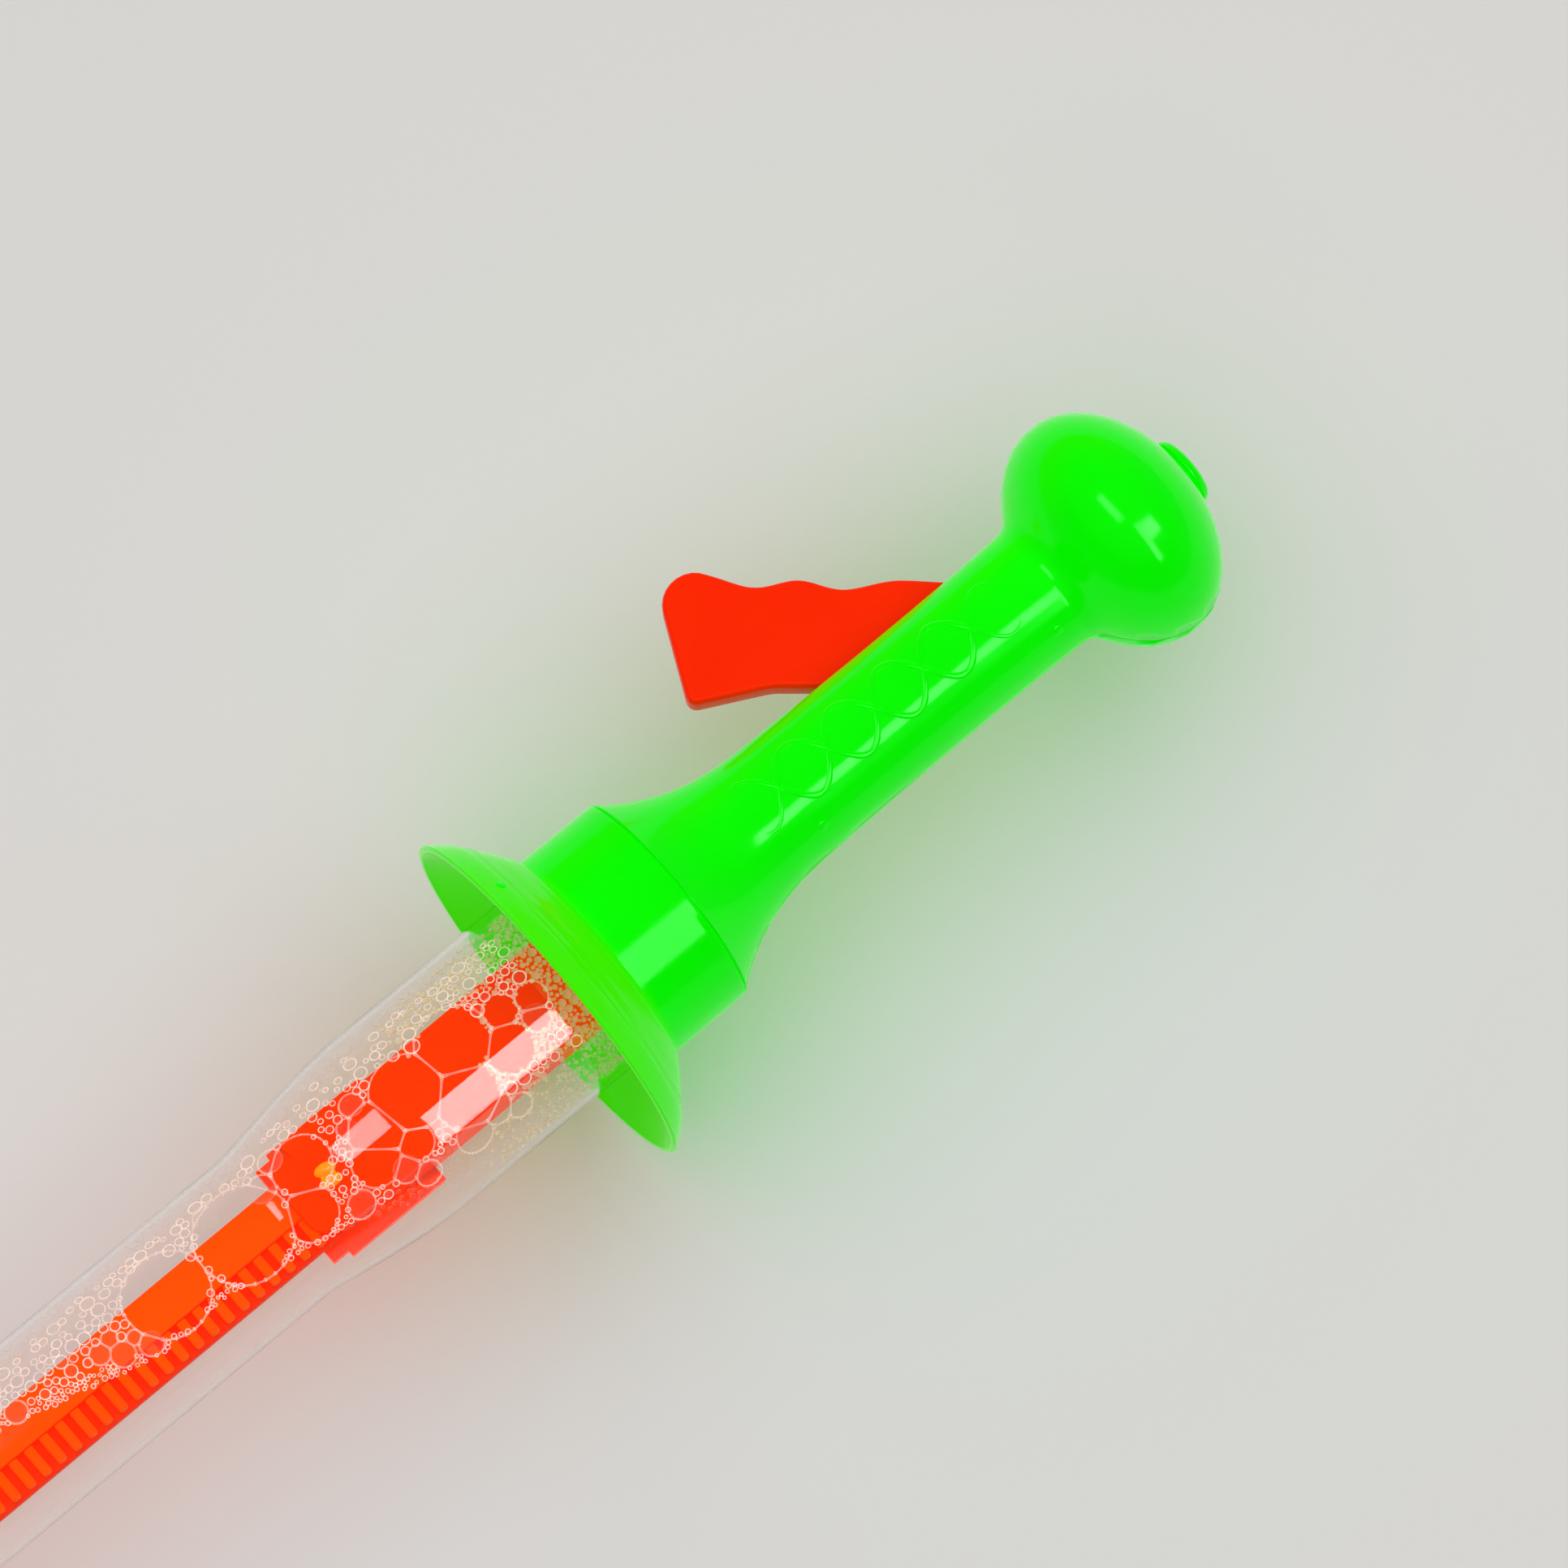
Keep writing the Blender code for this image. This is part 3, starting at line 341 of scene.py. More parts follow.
finishes = {key: mouldedPlastic(**{"name": key + "Plastic", **look}) for key, look in plasticLook.items()}
finishes["steel"] = brightSteel()
finishes["clearTube"] = clearTubePlastic()
for finishName, film in skinsOfSoap.items():
    finishes[finishName] = soapFilm(finishName, *film)
for finishName, opacity in soapLook["edges"].items():
    finishes[finishName] = soapBorder(finishName, opacity)
print("finishes ready:", len(finishes))


# Mesh helpers

nothing = 1e-7   # a smaller length counts as none


def addObject(name, bm, finish, body=None, sharp=35):
    mesh = bmeshTo(name, bm)
    mesh.materials.append(finishes[finish])
    mesh.shade_smooth()
    if sharp:
        mesh.set_sharp_from_angle(angle=radians(sharp))
    piece = addThing(name, mesh)
    if body:
        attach(piece, body)
    return piece


def bmeshTo(name, bm):
    bmesh.ops.recalc_face_normals(bm, faces=bm.faces)
    mesh = bpy.data.meshes.new(name)
    bm.to_mesh(mesh)
    bm.free()
    return mesh


def circlePoints(sides):
    return [(cos(2 * pi * k / sides), sin(2 * pi * k / sides)) for k in range(sides)]


def bridgeRings(bm, rings):
    # faces from each ring to the next; a ring that is one point many times closes to a tip
    for first, second in zip(rings, rings[1:]):
        count = len(first)
        for k in range(count):
            j = (k + 1) % count
            face = list(dict.fromkeys((first[k], first[j], second[j], second[k])))
            if len(face) > 2:
                bm.faces.new(face)


def addCircle(bm, sides, radius, place):
    # a ring of corners, or one corner many times where the radius is nothing
    if radius < nothing:
        return [bm.verts.new(place(0, 0))] * sides
    return [bm.verts.new(place(radius * c, radius * s)) for c, s in circlePoints(sides)]


def latheX(profile, sides):
    # closed profile of (x, radius) turned round the wand's axis
    bm = bmesh.new()
    rings = [addCircle(bm, sides, r, lambda c, s: (x, c, s)) for x, r in profile]
    bridgeRings(bm, rings + rings[:1])
    return bm


def latheZ(profile, x, y, sides):
    # open profile of (radius, z) turned round an upright line
    bm = bmesh.new()
    bridgeRings(bm, [addCircle(bm, sides, r, lambda c, s: (x + c, y + s, z)) for r, z in profile])
    return bm


def sweepPath(bm, stations, radii, sides, flat=1.0, closed=False):
    # a thin bead through places with their normals; flat below 1 lowers it along the normals
    rings = []
    count = len(stations)
    for i, (at, normal) in enumerate(stations):
        before = stations[i - 1 if closed else max(i - 1, 0)][0]
        after = stations[(i + 1) % count if closed else min(i + 1, count - 1)][0]
        ahead = (after - before).normalized()
        out = (normal - ahead * ahead.dot(normal)).normalized()
        side = ahead.cross(out)
        rings.append([bm.verts.new(at + side * radii[i] * c + out * radii[i] * flat * s)
                      for c, s in circlePoints(sides)])
    bridgeRings(bm, rings + rings[:1] if closed else rings)
    if not closed:
        bm.faces.new(rings[0])
        bm.faces.new(rings[-1])


def evenSteps(begin, end, steps):
    return [begin + (end - begin) * k / steps for k in range(steps + 1)]


def arc(centre, radius, begin, end, steps):
    turns = [radians(a) for a in evenSteps(begin, end, steps)]
    return [(centre[0] + radius * cos(a), centre[1] + radius * sin(a)) for a in turns]


def heightAt(points, u):
    # height over u on the line through the points, level past both ends
    for (u0, h0), (u1, h1) in zip(points, points[1:]):
        if u0 <= u <= u1:
            return h0 if u1 - u0 < nothing else h0 + (h1 - h0) * (u - u0) / (u1 - u0)
    return points[0][1] if u < points[0][0] else points[-1][1]


def cutAway(piece, shape, sharp, crossed=False):
    # cut a shape out of a piece, with its other modifiers applied first
    cutter = addThing("cutter", bmeshTo("cutter", shape))
    cut = piece.modifiers.new("cut", "BOOLEAN")
    cut.operation, cut.solver, cut.object, cut.use_self = "DIFFERENCE", "EXACT", cutter, crossed
    bpy.context.view_layer.update()
    piece.data = bpy.data.meshes.new_from_object(piece.evaluated_get(bpy.context.evaluated_depsgraph_get()))
    piece.modifiers.clear()
    bpy.data.objects.remove(cutter)
    piece.data.shade_smooth()
    piece.data.set_sharp_from_angle(angle=radians(sharp))


def shadeEvenly(piece):
    piece.modifiers.new("evenShading", "WEIGHTED_NORMAL").keep_sharp = True


# Pieces whose shape is the solid's own: corners merged, turned faces smooth, edges crisp

plainPieces = (
    ("neonGreen", "handle", ("handle_upper_shell", "handle_lower_shell", "pommel_plug", "neck_plug")),
    ("stemOrange", "handle", ("stem_front", "stem_rear")),
    ("stemOrange", "pull_rod", ("pull_rod",)),
    ("sealRubber", "handle", ("mouth_seal", "rod_gland")),
    ("amber", "pull_rod", ("tip_rivet",)),
    ("steel", "pull_rod", ("drive_pin",)),
    ("steel", "handle", ("trigger_pivot_pin",)),
)
plainShading = {"weld": 0.000005, "sharp": 32}


def weldedCopy(name):
    bm = bmesh.new()
    bm.from_mesh(nodes[name].data)
    bmesh.ops.remove_doubles(bm, verts=bm.verts, dist=plainShading["weld"])
    return bm


for plainFinish, plainBody, solidNames in plainPieces:
    for solidName in solidNames:
        plainPiece = addObject(solidName + "Smooth", weldedCopy(solidName), plainFinish, plainBody,
                               plainShading["sharp"])
        shadeEvenly(plainPiece)
        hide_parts(solidName)
print("plain pieces finished:", sum(len(solidNames) for _, _, solidNames in plainPieces))


# Trigger: the same plate with its finger waves eased

triggerShape = {
    "pivot": (0.4052, 0.007, 0.0), "fingerSide": (0.67, 0.742, 0.0),
    "waves": (-0.054, -0.006),   # stretch of the finger side, along it from the pivot
    "cuts": 48, "deepest": -0.001, "ease": 0.0021, "fade": 0.004, "samples": 12, "samplesPerEase": 4,
    "flatWithin": 0.5, "onWall": 0.00001, "cutDistance": 0.000001,
}


def easeWaves(bm):
    # each point of the finger side moves to the mean height of the edge round about it
    t = triggerShape
    pivot, side = Vector(t["pivot"]), Vector(t["fingerSide"])
    along = Vector((side.y, -side.x, 0))
    begin, end = t["waves"]
    for u in evenSteps(begin, end, t["cuts"]):
        bmesh.ops.bisect_plane(bm, geom=bm.verts[:] + bm.edges[:] + bm.faces[:], dist=t["cutDistance"],
                               plane_co=pivot + along * u, plane_no=along)
    near = {}
    for v in bm.verts:
        u, h = (v.co - pivot).dot(along), (v.co - pivot).dot(side)
        if begin < u < end and h > t["deepest"]:
            near[v] = u, h
    wall = min(abs(v.co.z) for v in near) + t["onWall"]
    profile = sorted(place for v, place in near.items() if abs(v.co.z) < wall)
    reach = [k * t["ease"] / t["samplesPerEase"] for k in range(-t["samples"], t["samples"] + 1)]
    share = [exp(-(d / t["ease"]) ** 2 / 2) for d in reach]
    for v, (u, _) in near.items():
        mean = sum(w * heightAt(profile, u + d) for d, w in zip(reach, share)) / sum(share)
        fade = max(0.0, min(1.0, (u - begin) / t["fade"], (end - u) / t["fade"]))
        v.co += side * (mean - heightAt(profile, u)) * fade


def makeTrigger():
    bm = weldedCopy("trigger")
    flat = radians(triggerShape["flatWithin"])
    bmesh.ops.dissolve_limit(bm, angle_limit=flat, verts=bm.verts, edges=bm.edges)
    easeWaves(bm)
    return bm


triggerPiece = addObject("triggerSoft", makeTrigger(), "orangeRed", "trigger")
shadeEvenly(triggerPiece)
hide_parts("trigger")
print("trigger made")


# Tube: blown clear plastic with a rounded base edge and a smooth taper

tubeShape = {
    "length": 0.3135, "bodyRadius": 0.0171, "mouthRadius": 0.0211, "mouthLength": 0.059,
    "taperLength": 0.035, "taperPower": 1.15, "wall": 0.0011, "baseThickness": 0.0016, "baseRound": 0.003,
    "sides": 128, "sharp": 50, "bodyRings": 10, "taperRings": 30, "mouthRings": 5, "baseSteps": 8,
    "lipSteps": 6, "insideSteps": 5,
    "support": (-0.0005, 0.0, 0.0004),   # rings that hold the start of the taper
}
taperStart = tubeShape["length"] - tubeShape["mouthLength"] - tubeShape["taperLength"]


def tubeOuter(x):
    u = min(1.0, max(0.0, (x - taperStart) / tubeShape["taperLength"]))
    swell = sin(pi / 2 * u) ** tubeShape["taperPower"]
    return tubeShape["bodyRadius"] + (tubeShape["mouthRadius"] - tubeShape["bodyRadius"]) * swell


def tubeInner(x):
    return tubeOuter(x) - tubeShape["wall"]


def makeTube():
    t = tubeShape
    large, small, lip = t["baseRound"], t["baseRound"] / 2, t["wall"] / 2
    places = evenSteps(large, taperStart, t["bodyRings"])[1:-1]
    places += [taperStart + offset for offset in t["support"]]
    places += [taperStart + t["taperLength"] * k / t["taperRings"] for k in range(1, t["taperRings"] + 1)]
    places += [t["length"] - t["mouthLength"] * (1 - k / t["mouthRings"]) for k in range(1, t["mouthRings"])]
    outer = [(0, 0)] + arc((large, t["bodyRadius"] - large), large, 180, 90, t["baseSteps"])
    outer += [(x, tubeOuter(x)) for x in places]
    mouth = arc((t["length"] - lip, t["mouthRadius"] - lip), lip, 90, -90, t["lipSteps"])
    inner = [(x, tubeInner(x)) for x in reversed(places)]
    corner = (t["baseThickness"] + small, t["bodyRadius"] - t["wall"] - small)
    inner += arc(corner, small, 90, 180, t["insideSteps"])
    inner.append((t["baseThickness"], 0))
    return latheX(outer + mouth + inner, t["sides"])


tubePiece = addObject("tubeClear", makeTube(), "clearTube", "tube", tubeShape["sharp"])
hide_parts("tube")
tubePiece.visible_diffuse = False   # for the light of the scene only
print("tube made")


# Guard: thin bell with a lipped rim, two low steps on its face and a plain collar

guardShape = {
    "rimX": 0.2899, "radius": 0.0394, "collarRadius": 0.0244, "collarEnd": 0.3213, "collarDraft": 0.0002,
    "depth": 0.0135, "fullness": 1.25, "wall": 0.0022, "seatRadius": 0.0230, "seatX": 0.3138,
    "socketRadius": 0.0215, "sides": 160, "sharp": 40, "outsideRows": 26, "insideRows": 20,
    "steps": (0.0358, 0.0338), "stepHeight": 0.00022, "stepLean": 0.6, "stepLimit": 0.003,
    "stepEdge": ((0.45, 0.35), (0.5, 0.55)),   # shares of the way to the next row, along and across
    # the lip: behind the rim's plane, and inside the full radius
    "lip": ((0.0001, 0.0014), (0.00002, 0.0007), (0.0002, 0.0002), (0.0006, 0.00005), (0.0010, 0.0004)),
    "firstRow": 2, "collarStart": (0.0012, 0.07),
    # the collar's end: before its end plane, and inside its radius
    "collarEdge": ((0.0012, 0.0), (0.0004, 0.0), (0.0001, 0.0001), (0.0, 0.0004)),
}


def bellRadius(x):
    g = guardShape
    u = min(1.0, max(0.0, x / g["depth"]))
    rise = (1 - u ** g["fullness"]) ** (1 / g["fullness"])
    return g["collarRadius"] + (g["radius"] - g["collarRadius"]) * rise


def bellFace():
    g = guardShape
    plain = []
    for k in range(g["firstRow"], g["outsideRows"] + 1):
        x = g["depth"] * sin(pi / 2 * k / g["outsideRows"])
        r = bellRadius(x)
        lift = sum(g["stepHeight"] for s in g["steps"] if r < s)
        lowered = r - lift * g["stepLean"] if r > g["collarRadius"] + g["stepLimit"] else r
        plain.append((g["rimX"] + x - lift, lowered))
    stepped = []
    for (x0, r0), (x1, r1) in zip(plain, plain[1:]):
        stepped.append((x0, r0))
        for s in g["steps"]:
            if r0 > s > r1:
                stepped += [(x0 + (x1 - x0) * u, r0 + (r1 - r0) * v) for u, v in g["stepEdge"]]
    return stepped + plain[-1:]


def makeGuard():
    g = guardShape
    lip = [(g["rimX"] + behind, g["radius"] - within) for behind, within in g["lip"]]
    floor = g["depth"] - g["wall"]
    inside = []
    for k in range(1, g["insideRows"] + 1):
        x = floor * sin(pi / 2 * k / g["insideRows"])
        inside.append((g["rimX"] + x, bellRadius(x + g["wall"])))
    end = g["collarRadius"] - g["collarDraft"]
    past, draft = g["collarStart"]
    collar = [(g["rimX"] + g["depth"] + past, g["collarRadius"] - g["collarDraft"] * draft)]
    collar += [(g["collarEnd"] - before, end - within) for before, within in g["collarEdge"]]
    bore = [(g["collarEnd"], g["seatRadius"]), (g["seatX"], g["seatRadius"]), (g["seatX"], g["socketRadius"]),
            (g["rimX"] + floor, g["socketRadius"])]
    return latheX(lip + bellFace() + collar + bore + inside[::-1], g["sides"])


guardPiece = addObject("guardBell", makeGuard(), "guardGreen", "handle", guardShape["sharp"])
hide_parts("guard")
print("guard made")


# Grip relief: two crossing waves of low beads round the grip's upper side

gripShape = {
    "start": 0.3556, "length": 0.0674, "radius": 0.01335, "waist": 0.0004,
    "flareStart": 0.3216, "flareLength": 0.034, "flarePower": 2.6,
    "reliefStart": 0.3385, "reliefEnd": 0.4135, "period": 0.0252, "swing": 0.0064, "firstPeak": 0.3575,
    "beadWidth": 0.0008, "beadHeight": 0.42, "beadSides": 8, "rows": 150, "fadeRate": 6, "thinEnd": 0.25,
}


def handleRadius(x):
    g = gripShape
    gripEnd = g["radius"] + g["waist"]
    if x < g["start"]:
        u = max(0.0, (x - g["flareStart"]) / g["flareLength"])
        mouth = guardShape["collarRadius"] - guardShape["collarDraft"]
        return gripEnd + (mouth - gripEnd) * (1 - u) ** g["flarePower"]
    v = (x - g["start"]) / g["length"] * 2 - 1
    return g["radius"] + g["waist"] * v * v


def onHandle(x, sideways):
    # a place on the handle's skin, so far sideways from its top line
    r = handleRadius(x)
    out = Vector((0, sin(sideways / r), cos(sideways / r)))
    return Vector((x, 0, 0)) + out * r, out


def makeWaves():
    g = gripShape
    bm = bmesh.new()
    count = g["rows"]
    for phase in (1, -1):
        stations, radii = [], []
        for k, x in enumerate(evenSteps(g["reliefStart"], g["reliefEnd"], count)):
            sway = phase * g["swing"] * cos(2 * pi * (x - g["firstPeak"]) / g["period"])
            stations.append(onHandle(x, sway))
            fade = min(1.0, g["fadeRate"] * min(k, count - k) / count)
            radii.append(g["beadWidth"] * (g["thinEnd"] + (1 - g["thinEnd"]) * fade))
        sweepPath(bm, stations, radii, g["beadSides"], g["beadHeight"])
    return bm


addObject("gripWaves", makeWaves(), "neonGreen", "handle", 0)
print("grip relief made")


# Moulding marks: low round dots on the guard's face, on the handle and on the stem

markShape = {
    "guardRadius": 0.0368, "guardAngles": (64, 196, 318),
    "handlePlaces": ((0.3535, -0.0122), (0.4155, -0.0122)),
    "size": 0.0011, "height": 0.00025, "sides": 20, "search": 400, "slopeStep": 0.0005,
    "rings": ((1.0, -0.6), (1.0, 0.5), (0.8, 1.0)), "crown": 1.0,   # shares of size and height
    "stemPlace": (0.2605, 0.0028), "stemSides": 24,
    "stemProfile": ((0.0011, 0.0046), (0.0011, 0.0048), (0.0008, 0.00498), (0, 0.00503)),
}


def addDot(bm, at, out):
    m = markShape
    side = out.orthogonal().normalized()
    other = out.cross(side)
    rings = []
    for reach, lift in m["rings"]:
        rise = out * lift * m["height"]
        rings.append([bm.verts.new(at + (side * c + other * s) * m["size"] * reach + rise)
                      for c, s in circlePoints(m["sides"])])
    rings.append([bm.verts.new(at + out * m["crown"] * m["height"])] * m["sides"])
    bridgeRings(bm, rings)
    bm.faces.new(rings[0])


def makeMarks():
    m = markShape
    bm = bmesh.new()
    rows = [guardShape["depth"] * k / m["search"] for k in range(1, m["search"])]
    depth = min(x for x in rows if bellRadius(x) < m["guardRadius"])
    fall = bellRadius(depth + m["slopeStep"]) - bellRadius(depth - m["slopeStep"])
    for angle in m["guardAngles"]:
        radial = Vector((0, cos(radians(angle)), sin(radians(angle))))
        out = (radial * (2 * m["slopeStep"]) - alongX * fall).normalized()
        addDot(bm, alongX * (guardShape["rimX"] + depth) + radial * bellRadius(depth), out)
    for x, sideways in m["handlePlaces"]:
        addDot(bm, *onHandle(x, sideways))
    return bm


def makeStemDot():
    m = markShape
    return latheZ(m["stemProfile"], *m["stemPlace"], m["stemSides"])


addObject("mouldDots", makeMarks(), "neonGreen", "handle")
addObject("stemDot", makeStemDot(), "stemOrange", "handle")
print("mould dots made")


# Strips: a smooth web with soft-edged ribs

stripShape = {
    "tip": 0.0106, "back": 0.23915, "centreY": -0.002, "top": 0.0024, "web": 0.0016, "width": 0.008,
    "tab": 0.0105, "corner": 0.003, "gap": 0.0003, "lap": 0.0008,
    "ribHeight": 0.002, "ribLength": 0.0021, "pitch": 0.0039, "ledge": 0.0006, "ribSink": 0.0001,
    "ribInnerRound": 0.0003, "ribOuterRound": 0.0006, "ribSteps": 3, "cornerSteps": 6,
    "rivetX": 0.2339, "tipX": 0.01585, "rodY": -0.005, "hole": 0.0019, "holeReach": 0.01, "holeSides": 24,
    "soft": 0.00028, "softSteps": 2, "softAngle": 50, "sharp": 40,
}


def roundedCorners(corners, steps):
    points = []
    for i, (x, y, radius) in enumerate(corners):
        here = Vector((x, y))
        back = (Vector(corners[i - 1][:2]) - here).normalized()
        ahead = (Vector(corners[(i + 1) % len(corners)][:2]) - here).normalized()
        if radius <= 0:
            points.append(here)
            continue
        half = back.angle(ahead) / 2
        centre = here + (back + ahead).normalized() * (radius / sin(half))
        begin = here + back * (radius / tan(half)) - centre
        end = here + ahead * (radius / tan(half)) - centre
        sweep = begin.angle_signed(end)
        points += [centre + Matrix.Rotation(-sweep * k / steps, 2) @ begin for k in range(steps + 1)]
    return points


def addPrism(bm, outline, bottom, top):
    face = bm.faces.new([bm.verts.new((p[0], p[1], bottom)) for p in outline])
    raised = bmesh.ops.extrude_face_region(bm, geom=[face])["geom"]
    corners = [v for v in raised if isinstance(v, bmesh.types.BMVert)]
    bmesh.ops.translate(bm, vec=(0, 0, top - bottom), verts=corners)


def makeStrip(name, turnedOver):
    s = stripShape
    inner = s["centreY"] + s["gap"] / 2
    outer = inner + s["width"]
    far = 2 * s["centreY"] - outer
    under = s["top"] - s["web"]
    low = under - s["ribHeight"]
    edge = inner - s["lap"]
    root = inner + s["lap"]
    front, rear = s["tip"] + s["tab"], s["back"] - s["tab"]
    bm = bmesh.new()
    web = ((s["tip"], far, s["corner"]), (front, far, s["corner"] / 2), (front, edge, 0), (rear, edge, 0),
           (rear, far, s["corner"] / 2), (s["back"], far, s["corner"]), (s["back"], outer, s["corner"]),
           (s["tip"], outer, s["corner"]))
    addPrism(bm, roundedCorners(web, s["cornerSteps"]), under, s["top"])
    begin = front + s["ribLength"]
    span = rear - s["ribLength"] - begin
    count = int((span - s["ribLength"]) / s["pitch"]) + 1
    begin += (span - s["ribLength"] - (count - 1) * s["pitch"]) / 2
    for k in range(count):
        x0 = begin + k * s["pitch"]
        x1 = x0 + s["ribLength"]
        rib = ((x0, root, s["ribInnerRound"]), (x1, root, s["ribInnerRound"]),
               (x1, outer - s["ledge"], s["ribOuterRound"]), (x0, outer - s["ledge"], s["ribOuterRound"]))
        addPrism(bm, roundedCorners(rib, s["ribSteps"]), low, under + s["ribSink"])
    if turnedOver:
        middle = Vector((0, s["centreY"], (s["top"] + low) / 2))
        turn = Matrix.Translation(middle) @ Matrix.Rotation(pi, 4, "X") @ Matrix.Translation(-middle)
        bmesh.ops.transform(bm, verts=bm.verts, matrix=turn)
    piece = addObject(name, bm, "stripOrange")
    soft = piece.modifiers.new("softEdges", "BEVEL")
    soft.width, soft.segments, soft.limit_method = s["soft"], s["softSteps"], "ANGLE"
    soft.angle_limit = radians(s["softAngle"])
    for x, y in ((s["rivetX"], 0.0), (s["tipX"], s["rodY"])):
        wide, deep = s["hole"], s["holeReach"]
        hole = latheZ(((0, -deep), (wide, -deep), (wide, deep), (0, deep)), x, y, s["holeSides"])
        cutAway(piece, hole, s["sharp"])
    return piece


for stripName, over in (("strip_upper", False), ("strip_lower", True)):
    stripPiece = makeStrip(stripName + "Ribbed", over)
    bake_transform(stripPiece)
    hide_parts(stripName)
print("strips made")


# Return spring: one wire round the rod

springShape = {"start": 0.3291, "length": 0.0135, "turns": 6, "wire": 0.0005, "radius": 0.003,
               "rodZ": -0.0031, "turnSteps": 24, "wireSides": 8, "sharp": 60}


def makeSpring():
    s = springShape
    count = s["turns"] * s["turnSteps"]
    stations = []
    for k in range(count + 1):
        a = 2 * pi * k / s["turnSteps"]
        out = Vector((0, cos(a), sin(a)))
        x = s["start"] + s["wire"] + (s["length"] - 2 * s["wire"]) * k / count
        stations.append((Vector((x, stripShape["rodY"], s["rodZ"])) + out * s["radius"], out))
    bm = bmesh.new()
    sweepPath(bm, stations, [s["wire"]] * len(stations), s["wireSides"])
    return bm


springPiece = addObject("springCoil", makeSpring(), "steel", sharp=springShape["sharp"])
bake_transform(springPiece)
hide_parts("return_spring")
print("spring made")


# Rivet at the stem: a split snap head of two plump halves, and a plain foot

rivetShape = {
    "shank": 0.0016, "sides": 40, "headZ": 0.005, "shankPast": 0.0003,
    "lobe": (0.0024, 0.00135, 0.0016), "lobeMesh": {"u_segments": 28, "v_segments": 16, "radius": 1.0},
    "lobeCut": -0.15, "apart": 0.00128, "turn": -10,
    "foot": 0.0031, "footZ": -0.0073, "footHeight": 0.0013, "soleShare": 0.8, "edgeShare": 0.6,
}


def makeRivet():
    r = rivetShape
    x = stripShape["rivetX"]
    sole, head = r["footZ"] - r["footHeight"], r["headZ"] + r["shankPast"]
    bm = latheZ(((0, sole), (r["foot"] * r["soleShare"], sole),
                 (r["foot"], r["footZ"] - r["footHeight"] * r["edgeShare"]), (r["foot"], r["footZ"]),
                 (r["shank"], r["footZ"]), (r["shank"], head), (0, head)), x, 0.0, r["sides"])
    stand = Matrix.Translation((x, 0, r["headZ"])) @ Matrix.Rotation(radians(r["turn"]), 4, "Z")
    for side in (-1, 1):
        lobe = bmesh.ops.create_uvsphere(bm, **r["lobeMesh"])["verts"]
        for vert in lobe:
            vert.co.z = max(vert.co.z, r["lobeCut"])
        place = stand @ Matrix.Translation((0, side * r["apart"], 0)) @ Matrix.Diagonal((*r["lobe"], 1))
        bmesh.ops.transform(bm, verts=lobe, matrix=place)
    return bm


rivetPiece = addObject("rivetSplitHead", makeRivet(), "amber", "handle")
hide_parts("base_rivet")
print("rivet made")


# Screws: pan heads with a cross recess, sunk in the lower shell

screwShape = {
    "count": 4, "head": 0.0023, "headHeight": 0.0016, "shank": 0.0011, "sides": 28, "tip": 0.0008,
    "tipShare": 0.6,
    "pan": ((1.0, 0.0007), (0.86, 0.00025), (0.6, 0.0)),   # share of the head's radius, and height
    "cross": 0.0005, "reach": 0.0014, "deep": 0.0008, "deeper": 0.00002, "turn": 20, "sharp": 35,
}


def makeScrew(number):
    low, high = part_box("handle_screw_%d" % number)
    s = screwShape
    x, y = (low.x + high.x) / 2, (low.y + high.y) / 2
    seat = low.z + s["headHeight"]
    profile = [(0, high.z), (s["shank"] * s["tipShare"], high.z), (s["shank"], high.z - s["tip"]),
               (s["shank"], seat), (s["head"], seat)]
    profile += [(s["head"] * share, low.z + height) for share, height in s["pan"]] + [(0, low.z)]
    piece = addObject("screwCross%d" % number, latheZ(profile, x, y, s["sides"]), "steel")
    recess = bmesh.new()
    for turn, deeper in ((0, 0), (90, s["deeper"])):
        bar = bmesh.ops.create_cube(recess, size=1.0)["verts"]
        angle = radians(turn + s["turn"] * number)
        stand = Matrix.Translation((x, y, low.z)) @ Matrix.Rotation(angle, 4, "Z")
        size = Matrix.Diagonal((2 * s["reach"], s["cross"], 2 * s["deep"] + deeper, 1))
        bmesh.ops.transform(recess, verts=bar, matrix=stand @ size)
    cutAway(piece, recess, s["sharp"], True)
    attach(piece, "handle")
    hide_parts("handle_screw_%d" % number)


for screwNumber in range(1, screwShape["count"] + 1):
    makeScrew(screwNumber)
print("screws made")


# Foam on the tube's inner wall: film cells over the stem, large bubbles along the strips, froth between

